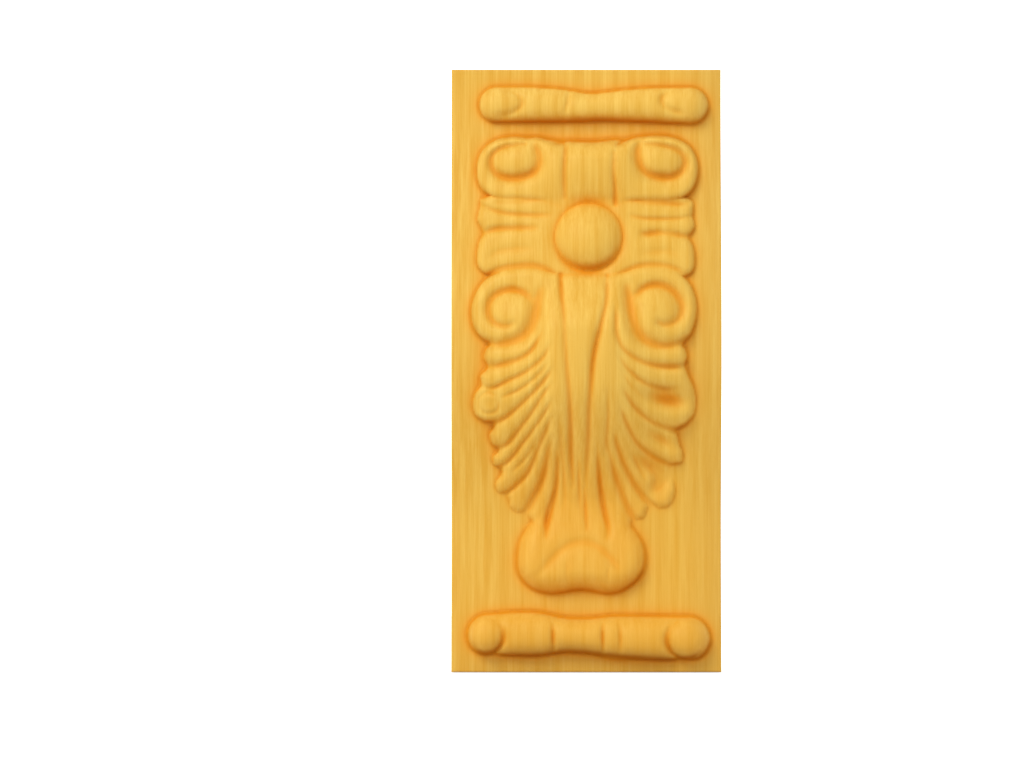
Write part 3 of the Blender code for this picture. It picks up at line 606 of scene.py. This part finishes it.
def top_rod(across, level):
    """The upper rod: a folded bulb at each end and one notch beside the waist."""
    up = parts(level - (BLOCK_HEIGHT - TOP_ROD_MARGIN - 0.5 * TOP_ROD_HEIGHT))
    half = 0.5 * parts(TOP_ROD_LENGTH)
    wide = 0.5 * parts(TOP_ROD_HEIGHT)
    narrow = wide - parts(TOP_ROD_WAIST)
    left, right = TOP_ROD_ENDS
    ends = (TOP_ROD_MIDDLE - half + wide, left), (TOP_ROD_MIDDLE + half - wide, right)
    widths = [wide + 0.2, wide + 0.2, wide - 0.1, narrow + 0.2, wide - 0.3, wide + 0.2, wide + 0.4]
    relief = carve_rod(across, up, ends, TOP_ROD_SPINE, widths, parts(TOP_ROD_PROUD))
    relief.carve(TOP_ROD_CUTS)
    return relief.height


def foot_rod(across, level):
    """The lower rod: a ball set in each end, a stepped waist and three upright cuts."""
    up = parts(level - (FOOT_ROD_MARGIN + 0.5 * FOOT_ROD_HEIGHT))
    half = 0.5 * parts(FOOT_ROD_LENGTH)
    wide = 0.5 * parts(FOOT_ROD_HEIGHT)
    narrow = wide - parts(FOOT_ROD_WAIST)
    left, right = FOOT_ROD_ENDS
    ends = (FOOT_ROD_MIDDLE - half + wide, left), (FOOT_ROD_MIDDLE + half - wide, right)
    widths = [wide - 0.6, wide + 0.1, wide + 0.1, narrow, narrow + 0.2, wide, wide + 0.2, wide + 0.2, wide]
    relief = carve_rod(across, up, ends, FOOT_ROD_SPINE, widths, parts(FOOT_ROD_PROUD))
    crown = np.full_like(up, parts(FOOT_BALL_PROUD))
    for side, seat, larger in FOOT_BALLS:
        radius = parts(FOOT_BALL_RADIUS) + larger
        fold = arc(radius + FOLD_GAP, *FOLD_TURNS) * (side, 1.0) + seat
        relief.groove(fold, *FOLD_CUT)
        relief.boss(seat, radius, crown, FOOT_BALL_ROUNDNESS, FOOT_BALL_FILL)
    for place, depth in UPRIGHT_CUTS:
        line = np.array([(place, UPRIGHT_TOP), (place + UPRIGHT_LEAN, UPRIGHT_FOOT)])
        relief.groove(line, [UPRIGHT_WIDTH] * 2, [0.5 * depth, depth, 0.6 * depth])
    relief.carve(FOOT_ROD_CREASE)
    return relief.height


def relief_height(x, level):
    """How far the carving stands proud of the block, in metres."""
    across = parts(x)
    up = parts(level - CARVING_FOOT)
    relief = Relief(across, up)
    relief.slab(FINGER_BED, finger_crest(across), FINGER_EDGE)
    relief.carve(FINGER_CUTS)
    relief.slab(LEAF_OUTLINE, leaf_crest(across + LEAF_SHIFT, up), LEAF_EDGE)
    relief.slab(TOE_OUTLINE, toe_crest(up), TOE_EDGE, fill=TOE_FILL, slope=TOE_WALL_SLOPE)
    relief.carve(LEAF_CUTS, LEAF_DISHES)
    relief.carve(TOE_CUTS)
    relief.carve(STEM_CUTS)
    relief.slab(HEAD_OUTLINE, head_crest(across + HEAD_SHIFT, up), HEAD_EDGE)
    relief.carve(SCROLL_CUTS, SCROLL_DISHES)
    carve_ball(relief)
    height = soft_max(relief.height, top_rod(across, level), ROD_FILL)
    height = soft_max(height, foot_rod(across, level), ROD_FILL)
    return PART * np.clip(height, -GROUND_CUT, parts(LEAF_PROUD))


# A rounded edge: where the grid has its lines over it, and a point halfway round it, as shares of
# its radius.
ARRIS_LINES = (0.0, 0.18, 0.45, 1.0)
ARRIS_HALFWAY = 0.3

# What the painted wax and shade read from the relief, in metres. The relief is compared with itself,
# blurred over a radius. Where it lies lower by the depth the mask is full, and the share is its weight.
BROAD_BLUR, BROAD_DEPTH, BROAD_SHARE = 0.0075, 0.0040, 0.40
WIDE_BLUR, WIDE_DEPTH, WIDE_SHARE = 0.0022, 0.0014, 0.50
FINE_BLUR, FINE_DEPTH, FINE_SHARE = 0.0008, 0.0004, 0.35
RIDGE_DEPTH = 0.0003

# Painted shade in the broad hollows counts only where the carving stands proud, and more painted shade
# lies on the carving towards the foot.
SHADE_HEIGHT = 0.0015
FOOT_SHADE_HEIGHT = 0.002
FOOT_SHADE_SHARE = 0.34
FOOT_SHADE_LEVELS = (0.085, 0.035)

# Painted shadow lies where the relief a little above and to the left stands out further, as if cast by the
# light from the upper left, and painted shade lies in creases.
LEDGE_UP = 0.0009
LEDGE_LEFT = 0.0005
LEDGE_START = 0.0007
LEDGE_DEPTH = 0.0012
LEDGE_BLUR = 0.0003
CREASE_START = 0.00012
CREASE_DEPTH = 0.0003
CREASE_SHARE = 0.32

# Faces that meet at more than this many degrees show a sharp edge.
SHARP_ANGLE = 55.0


def grid_lines(low, high, arris, step):
    """Places across a side: close together where the arris is rounded, about a step apart between."""
    edge = arris * np.array(ARRIS_LINES)
    start, end = low + arris, high - arris
    between = np.linspace(start, end, max(2, round((end - start) / step) + 1))
    return np.concatenate([low + edge[:-1], between, high - edge[-2::-1]])


def arris_drop(distance, radius):
    """How far a rounded edge falls away at a distance from the edge."""
    reach = np.clip(radius - distance, 0.0, radius)
    return radius - np.sqrt(radius**2 - reach**2)


def blurred(field, spacing, radius):
    """A field smoothed with a bell curve of the given radius."""
    size = max(1, int(round(3.0 * radius / spacing)))
    weight = np.exp(-0.5 * (np.arange(-size, size + 1) * spacing / radius) ** 2)
    weight /= weight.sum()
    padded = np.pad(field, size, mode="edge")
    padded = np.apply_along_axis(np.convolve, 0, padded, weight, "valid")
    return np.apply_along_axis(np.convolve, 1, padded, weight, "valid")


def share_of(value, full):
    """A value as a share of the full one, kept between 0 and 1."""
    return np.clip(value / full, 0.0, 1.0)


def hollows(relief, level, spacing):
    """How much each place lies in a groove, on a ridge and under a ledge, from 0 to 1: the masks for wax
    with painted shade, for rubbing and for painted shadow.
    """
    broad = blurred(relief, spacing, BROAD_BLUR) - relief
    wide = blurred(relief, spacing, WIDE_BLUR) - relief
    fine = blurred(relief, spacing, FINE_BLUR) - relief
    # Wax in the grooves, with painted shade there as well.
    groove = share_of(wide, WIDE_DEPTH) * WIDE_SHARE + share_of(fine, FINE_DEPTH) * FINE_SHARE
    # Painted shade in the broad hollows, such as the leaf's neck.
    groove += share_of(broad, BROAD_DEPTH) * share_of(relief, SHADE_HEIGHT) * BROAD_SHARE
    # Painted shade on the carving towards the foot, where its faces turn down away from the light.
    groove += FOOT_SHADE_SHARE * share_of(relief, FOOT_SHADE_HEIGHT) * ease(*FOOT_SHADE_LEVELS, level)
    # Painted shadow below and right of whatever stands out, as if cast by light from the upper left, and
    # painted shade in the creases.
    shift = (-round(LEDGE_UP / spacing), round(LEDGE_LEFT / spacing))
    above = np.roll(relief, shift, (0, 1)) - relief
    ledge = blurred(share_of(above - LEDGE_START, LEDGE_DEPTH), spacing, LEDGE_BLUR)
    ledge = np.maximum(ledge, CREASE_SHARE * share_of(fine - CREASE_START, CREASE_DEPTH))
    return np.clip(groove, 0.0, 1.0), share_of(-fine, RIDGE_DEPTH), ledge


def capital_mesh(arris, step):
    """The carved front as a fine grid, closed by flat sides and a flat back with softened edges."""
    xs = grid_lines(LOW.x, HIGH.x, arris, step)
    levels = grid_lines(LOW.z, HIGH.z, arris, step)
    x, level = np.meshgrid(xs, levels)
    relief = relief_height(x, level)
    thickness = block_thickness(level) + relief
    masks = hollows(relief, level, step)
    from_side = np.minimum(x - LOW.x, HIGH.x - x)
    from_end = np.minimum(level - LOW.z, HIGH.z - level)
    thickness = thickness - arris_drop(from_side, arris) - arris_drop(from_end, arris)
    y = HIGH.y - thickness
    verts = [np.column_stack([x.ravel(), y.ravel(), level.ravel()])]
    number = np.arange(x.size).reshape(x.shape)
    faces = np.stack([number[:-1, :-1], number[:-1, 1:], number[1:, 1:], number[1:, :-1]], axis=-1)
    faces = faces.reshape(-1, 4).tolist()
    # The rim of the grid is carried back in loops: each has its inset and its distance from the back.
    rim = np.concatenate([number[0, :-1], number[:-1, -1], number[-1, :0:-1], number[:0:-1, 0]])
    ring = rim
    edge = verts[0][rim]
    halfway = ARRIS_HALFWAY * arris
    for inset, depth in ((0.0, arris), (halfway, halfway), (arris, 0.0)):
        loop = edge.copy()
        loop[:, 0] = np.clip(loop[:, 0], LOW.x + inset, HIGH.x - inset)
        loop[:, 2] = np.clip(loop[:, 2], LOW.z + inset, HIGH.z - inset)
        loop[:, 1] = HIGH.y - depth
        after = np.arange(len(rim)) + sum(len(v) for v in verts)
        verts.append(loop)
        faces += np.stack([np.roll(ring, -1), ring, after, np.roll(after, -1)], axis=-1).tolist()
        ring = after
    faces.append(ring[::-1].tolist())
    verts = np.vstack(verts)
    mesh = bpy.data.meshes.new(NODE)
    mesh.from_pydata(verts.tolist(), [], faces)
    for name, values in zip(("groove", "ridge", "ledge"), masks):
        attribute = mesh.attributes.new(name, "FLOAT", "POINT")
        spread = np.zeros(len(verts), np.float32)
        spread[: values.size] = values.ravel()
        attribute.data.foreach_set("value", spread)
    return mesh


def opaque(colour):
    """A plain colour with its alpha."""
    return tuple(colour) + (1.0,)


def fill(made, inputs):
    """Sets inputs of a node to plain values, or links them where a socket is given."""
    for name, value in inputs.items():
        if isinstance(value, bpy.types.NodeSocket):
            made.id_data.links.new(value, made.inputs[name])
        else:
            made.inputs[name].default_value = value


def node(tree, kind, label, inputs=None, **settings):
    """A shader node with its label, its settings and what goes into it."""
    made = tree.nodes.new(kind)
    made.label = label
    for name, value in settings.items():
        setattr(made, name, value)
    fill(made, inputs or {})
    return made


def mapped(tree, vector, label, scale, location=(0.0, 0.0, 0.0)):
    """A place stretched by a scale and then shifted."""
    inputs = {"Vector": vector, "Location": location, "Scale": scale}
    return node(tree, "ShaderNodeMapping", label, inputs, vector_type="POINT").outputs["Vector"]


def noise(tree, vector, label, scale, detail, roughness=0.5, run=None):
    """Soft noise, drawn out by the run if one is given."""
    if run:
        vector = mapped(tree, vector, label, run)
    inputs = {"Vector": vector, "Scale": scale, "Detail": detail, "Roughness": roughness}
    return node(tree, "ShaderNodeTexNoise", label, inputs).outputs["Fac"]


def place_in(tree):
    """Where a point lies in the object's own space."""
    return node(tree, "ShaderNodeTexCoord", "place").outputs["Object"]


def painted(tree, name):
    """A mask that the mesh carries."""
    return node(tree, "ShaderNodeAttribute", name, attribute_name=name).outputs["Fac"]


def ramp(tree, value, label, low, high, start=0.0, end=1.0):
    """A value taken from low..high to start..end."""
    inputs = {"Value": value, "From Min": low, "From Max": high, "To Min": start, "To Max": end}
    return node(tree, "ShaderNodeMapRange", label, inputs).outputs["Result"]


def mixed(tree, factor, a, b, label):
    """Two colours mixed; either may be a socket or a plain colour."""
    made = node(tree, "ShaderNodeMix", label, {0: factor}, data_type="RGBA", blend_type="MIX")
    colours = [name for name, socket in enumerate(made.inputs) if socket.type == "RGBA"]
    fill(made, dict(zip(colours, (a, b))))
    return [socket for socket in made.outputs if socket.type == "RGBA"][0]


def sum_of(tree, terms, label):
    """A weighted sum of values."""
    total = 0.0
    for value, weight in terms:
        inputs = {0: value, 1: weight, 2: total}
        total = node(tree, "ShaderNodeMath", label, inputs, operation="MULTIPLY_ADD").outputs[0]
    return total


def wash(tree, base, mask, share, colour, label):
    """A colour laid over the base by a share of a mask."""
    return mixed(tree, sum_of(tree, ((mask, share),), label + " share"), base, opaque(colour), label)


def beech(look):
    """Waxed beech with its grain along the height: streaks, soft growth rings, flecks and dark hollows,
    with painted shade and shadow laid over the wood's colour.
    """
    material = bpy.data.materials.new("waxed beech")
    material.use_nodes = True
    tree = material.node_tree
    shader = tree.nodes["Principled BSDF"]
    place = place_in(tree)
    apart = node(tree, "ShaderNodeSeparateXYZ", "across and up", {"Vector": place})

    # The grain.
    streaks = noise(tree, place, "streaks", 620.0, detail=5.0, roughness=0.65, run=(1.0, 0.25, 0.03))
    fine = noise(tree, place, "fine grain", 1900.0, detail=4.0, roughness=0.65, run=(1.0, 0.25, 0.02))
    cloud = noise(tree, place, "slow wander", 26.0, detail=2.0, run=(1.0, 1.0, 0.10))
    heart = mapped(tree, place, "heart of the tree", (1.0, 1.0, 0.05), location=(0.22, -0.06, 0.0))
    inputs = {"Vector": heart, "Scale": 60.0, "Distortion": 9.0, "Detail": 2.0, "Detail Scale": 0.35}
    rings = node(tree, "ShaderNodeTexWave", "growth rings", inputs, wave_type="RINGS", rings_direction="Z")
    short = mapped(tree, place, "fleck shape", scale=(1.0, 1.0, 0.22))
    inputs = {"Vector": short, "Scale": 1500.0}
    flecks = node(tree, "ShaderNodeTexVoronoi", "flecks", inputs, feature="F1")
    fleck = ramp(tree, flecks.outputs["Distance"], "fleck mask", low=0.16, high=0.05)
    terms = ((streaks, 0.55), (rings.outputs["Fac"], 0.08), (fine, 0.34), (cloud, 0.25))
    tone = ramp(tree, sum_of(tree, terms, "tone"), "tone", low=0.48, high=0.76)
    base = mixed(tree, tone, opaque(look.dark_grain), opaque(look.light_grain), "grain colour")
    base = wash(tree, base, fleck, 0.22, look.fleck, "fleck")

    # Painted shade over the whole piece: darker towards the foot and the right, and along the right edge,
    # where the light from the upper left falls less.
    # Painted shade, slowly deeper towards the foot and the right.
    terms = ((apart.outputs["X"], 3.0), (apart.outputs["Z"], -1.2))
    slant_shade = sum_of(tree, terms, "towards the foot and the right")
    slant_shade = ramp(tree, slant_shade, "slow darkening", low=-0.30, high=0.12, end=0.40)
    base = mixed(tree, slant_shade, base, opaque(look.foot), "foot and right painted shade")
    # Painted shade along the right edge, which the relief keeps from the light on the left.
    right_shade = ramp(tree, apart.outputs["X"], "right edge", low=0.028, high=0.041, end=0.19)
    base = mixed(tree, right_shade, base, opaque(look.right_shade), "darker band")

    # Wax and painted shade in the hollows, rubbing on the crests, and painted shadow under the ledges.
    groove = painted(tree, "groove")
    ridge = painted(tree, "ridge")
    # Wax and painted shade laid into the hollows.
    base = wash(tree, base, groove, 0.82, look.hollow, "wax and painted shade in the hollows")
    base = wash(tree, base, ridge, 0.14, look.rubbed, "rubbed crests")
    # Painted shadow under the ledges and painted shade in the creases.
    base = wash(tree, base, painted(tree, "ledge"), 0.85, look.ledge_shadow, "painted shadow under ledges")

    # The surface.
    gloss = sum_of(tree, ((streaks, 0.16), (fine, 0.10), (groove, 0.12), (ridge, -0.08)), "gloss")
    rough = ramp(tree, gloss, "roughness", low=0.0, high=0.3, start=0.48, end=0.66)
    knife = noise(tree, place, "tool marks", 240.0, detail=2.0, run=(1.0, 1.0, 0.45))
    height = sum_of(tree, ((streaks, 0.25), (fine, 0.35), (knife, 0.6), (fleck, -0.25)), "surface")
    inputs = {"Height": height, "Strength": 0.35, "Distance": 0.00012}
    bump = node(tree, "ShaderNodeBump", "grain and tool marks", inputs)
    fill(shader, {
        "Base Color": base, "Roughness": rough, "Normal": bump.outputs["Normal"], "IOR": 1.46,
        "Specular IOR Level": 0.20, "Coat Weight": 0.015, "Coat Roughness": 0.35,
    })
    return material


def clouded_paint():
    """The group for the boards of the stage: two shades of a paint in a soft cloud."""
    name = "clouded paint"
    if name in bpy.data.node_groups:
        return bpy.data.node_groups[name]
    tree = bpy.data.node_groups.new(name, "ShaderNodeTree")
    sockets = (("Place", "Vector"), ("Scale", "Float"), ("Paint", "Color"), ("Thin paint", "Color"))
    for label, kind in sockets:
        tree.interface.new_socket(label, in_out="INPUT", socket_type="NodeSocket" + kind)
    tree.interface.new_socket("Colour", in_out="OUTPUT", socket_type="NodeSocketColor")
    given = node(tree, "NodeGroupInput", "given").outputs
    cloud = noise(tree, given["Place"], "cloud", given["Scale"], detail=2.0)
    shade = mixed(tree, cloud, given["Paint"], given["Thin paint"], "paint")
    node(tree, "NodeGroupOutput", "made", {"Colour": shade})
    return tree


def paint_over(tree, label, scale, paint, thin_paint):
    """The colour of a clouded paint in a material."""
    inputs = {
        "Place": place_in(tree), "Scale": scale, "Paint": opaque(paint), "Thin paint": opaque(thin_paint)
    }
    return node(tree, "ShaderNodeGroup", label, inputs, node_tree=clouded_paint()).outputs["Colour"]


def lit_screen(look):
    """A white screen lit from within, with a faint unevenness, clear when seen from behind."""
    material = bpy.data.materials.new("white screen")
    material.use_nodes = True
    tree = material.node_tree
    shader = tree.nodes["Principled BSDF"]
    thin = [0.99 * part for part in look.backdrop]
    glow = paint_over(tree, "glow", 1.5, look.backdrop, thin)
    fill(shader, {
        "Base Color": glow, "Roughness": 0.9, "Emission Color": glow, "Emission Strength": 0.9
    })
    side = node(tree, "ShaderNodeNewGeometry", "side").outputs["Backfacing"]
    clear = node(tree, "ShaderNodeBsdfTransparent", "clear").outputs["BSDF"]
    inputs = {0: side, 1: shader.outputs["BSDF"], 2: clear}
    either = node(tree, "ShaderNodeMixShader", "front or back", inputs)
    fill(tree.nodes["Material Output"], {"Surface": either.outputs["Shader"]})
    return material


def pale_floor(look):
    """A pale matt floor that looks as bright as the screen, yet throws back only a plain floor's light."""
    material = lit_screen(look)
    material.name = "pale floor"
    tree = material.node_tree
    shade = paint_over(tree, "matt paint", 2.5, (0.70, 0.70, 0.70), (0.68, 0.68, 0.68))
    seen = node(tree, "ShaderNodeLightPath", "seen by the camera").outputs["Is Camera Ray"]
    glow = ramp(tree, seen, "glow that only the camera sees", low=0.0, high=1.0, end=0.6)
    fill(tree.nodes["Principled BSDF"], {"Base Color": shade, "Emission Strength": glow})
    return material


# The stage, in metres, but the sensor in millimetres. Both boards reach this far to each side and
# meet at the back.
BOARD_REACH = 1.2
BOARD_BACK = 0.6
SCREEN_FOOT = -0.905
SCREEN_TOP = 1.095
FLOOR_FRONT = -1.2
FLOOR_LEVEL = -0.0002
KEY_PLACE = (-0.60, -0.92, 1.04)
KEY_AIM = (0.0, 0.0, 0.095)
KEY_SIZE = (0.60, 0.60)
CAMERA_ACROSS = -0.0234
CAMERA_LEVEL = 0.0907
FARTHEST_SEEN = 20.0
SENSOR_WIDTH = 36.0


class CapitalSizes(bpy.types.PropertyGroup):
    """Sizes of the dressed capital."""

    arris: bpy.props.FloatProperty(
        name="Arris", description="Radius of the softened edges", default=0.0004,
        subtype="DISTANCE", unit="LENGTH",
    )
    grid_step: bpy.props.FloatProperty(
        name="Grid step", description="Spacing of the mesh of the front", default=0.00042,
        precision=5, subtype="DISTANCE", unit="LENGTH",
    )


def tint(name, description, default):
    """A colour that can be set."""
    return bpy.props.FloatVectorProperty(
        name=name, description=description, default=default, subtype="COLOR"
    )


class BeechLook(bpy.types.PropertyGroup):
    """Colours of the wood, of its painted shade and shadow, and of the backdrop."""

    light_grain: tint("Light grain", "Colour of the pale streaks", (0.876, 0.566, 0.113))
    dark_grain: tint("Dark grain", "Colour of the darker streaks", (0.75, 0.397, 0.044))
    fleck: tint("Fleck", "Colour of the small rays", (0.55, 0.25, 0.03))
    hollow: tint("Hollows", "Colour of the wax and painted shade in the grooves", (0.86, 0.315, 0.003))
    ledge_shadow: tint("Ledge shadow", "Colour of the painted shadow under the ledges and in creases", (0.49, 0.15, 0.001))
    foot: tint(
        "Foot", "Painted shade that comes in slowly towards the foot and the right", (0.80, 0.415, 0.028)
    )
    right_shade: tint(
        "Darker band", "Colour of the painted shade along the right edge", (0.45, 0.27, 0.07)
    )
    rubbed: tint(
        "Rubbed crests", "Colour of the ridges where hands have rubbed", (0.93, 0.60, 0.13)
    )
    backdrop: tint("Backdrop", "Colour of the lit screen", (1.0, 1.0, 1.0))


class StageSettings(bpy.types.PropertyGroup):
    """The camera and the lights."""

    distance: bpy.props.FloatProperty(
        name="Camera distance", description="From the camera to the capital's front", default=2.5,
        subtype="DISTANCE", unit="LENGTH",
    )
    lens: bpy.props.FloatProperty(
        name="Lens", description="Focal length for a sensor 36 mm wide", default=278.8, unit="CAMERA"
    )
    key_power: bpy.props.FloatProperty(
        name="Key light", description="Power of the large light above left", default=8.8, unit="POWER"
    )
    sky_strength: bpy.props.FloatProperty(
        name="Sky", description="Strength of the even light all round", default=0.748
    )


class CAPITAL_OT_carve(bpy.types.Operator):
    """Carve the capital over its solid and finish it in waxed beech"""

    bl_idname = "capital.carve"
    bl_label = "Carve the capital"

    def execute(self, context):
        scene = context.scene
        mesh = capital_mesh(scene.capital_sizes.arris, scene.capital_sizes.grid_step)
        mesh.materials.append(beech(scene.beech_look))
        mesh.shade_smooth()
        mesh.set_sharp_from_angle(angle=np.radians(SHARP_ANGLE))
        capital = bpy.data.objects.new("capital", mesh)
        scene.collection.objects.link(capital)
        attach(capital, "root")
        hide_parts(NODE)
        return {"FINISHED"}


def corners_of(low, high):
    """The corners of a board as wide as the stage, from low to high."""
    return [(-BOARD_REACH, low), (BOARD_REACH, low), (BOARD_REACH, high), (-BOARD_REACH, high)]


def board(scene, name, corners, material):
    """A flat board of the stage."""
    mesh = bpy.data.meshes.new(name)
    mesh.from_pydata(corners, [], [(0, 1, 2, 3)])
    mesh.materials.append(material)
    made = bpy.data.objects.new(name, mesh)
    scene.collection.objects.link(made)
    return made


class CAPITAL_OT_stage(bpy.types.Operator):
    """Set out the white screen, the soft light and the camera"""

    bl_idname = "capital.stage"
    bl_label = "Set the stage"

    def execute(self, context):
        scene = context.scene
        settings = scene.stage_settings
        upright = [(x, BOARD_BACK, level) for x, level in corners_of(SCREEN_FOOT, SCREEN_TOP)]
        flat = [(x, y, FLOOR_LEVEL) for x, y in corners_of(FLOOR_FRONT, BOARD_BACK)]
        board(scene, "screen", upright, lit_screen(scene.beech_look))
        board(scene, "floor", flat, pale_floor(scene.beech_look))
        world = bpy.data.worlds.new("even light")
        world.use_nodes = True
        sky = world.node_tree.nodes["Background"].inputs
        sky["Color"].default_value = (1.0, 1.0, 1.0, 1.0)
        sky["Strength"].default_value = settings.sky_strength
        scene.world = world
        lamp = bpy.data.lights.new("key light", "AREA")
        lamp.shape = "RECTANGLE"
        lamp.size, lamp.size_y = KEY_SIZE
        lamp.energy = settings.key_power
        light = bpy.data.objects.new("key light", lamp)
        light.location = KEY_PLACE
        light.rotation_mode = "QUATERNION"
        light.rotation_quaternion = (Vector(KEY_AIM) - Vector(KEY_PLACE)).to_track_quat("-Z", "Y")
        scene.collection.objects.link(light)
        camera = bpy.data.objects.new("camera", bpy.data.cameras.new("camera"))
        camera.data.lens = settings.lens
        camera.data.sensor_width = SENSOR_WIDTH
        camera.data.clip_end = FARTHEST_SEEN
        camera.location = (CAMERA_ACROSS, -settings.distance, CAMERA_LEVEL)
        camera.rotation_euler = (0.5 * np.pi, 0.0, 0.0)
        scene.collection.objects.link(camera)
        scene.camera = camera
        scene.view_settings.view_transform = "Standard"
        return {"FINISHED"}


class CAPITAL_PT_panel(bpy.types.Panel):
    """Lists what makes the capital"""

    bl_label = "Carved capital"
    bl_idname = "CAPITAL_PT_panel"
    bl_space_type = "VIEW_3D"
    bl_region_type = "UI"
    bl_category = "Capital"

    def draw(self, context):
        scene = context.scene
        for group in (scene.capital_sizes, scene.beech_look, scene.stage_settings):
            column = self.layout.column(align=True)
            for name in group.bl_rna.properties.keys():
                if name not in {"rna_type", "name"}:
                    column.prop(group, name)
        self.layout.operator("capital.carve")
        self.layout.operator("capital.stage")


CLASSES = (CapitalSizes, BeechLook, StageSettings, CAPITAL_OT_carve, CAPITAL_OT_stage, CAPITAL_PT_panel)


def register():
    for made in CLASSES:
        bpy.utils.register_class(made)
    bpy.types.Scene.capital_sizes = bpy.props.PointerProperty(type=CapitalSizes)
    bpy.types.Scene.beech_look = bpy.props.PointerProperty(type=BeechLook)
    bpy.types.Scene.stage_settings = bpy.props.PointerProperty(type=StageSettings)


def unregister():
    del bpy.types.Scene.stage_settings
    del bpy.types.Scene.beech_look
    del bpy.types.Scene.capital_sizes
    for made in reversed(CLASSES):
        bpy.utils.unregister_class(made)


def main():
    register()
    bpy.ops.capital.carve()
    bpy.ops.capital.stage()


if __name__ == "__main__":
    main()
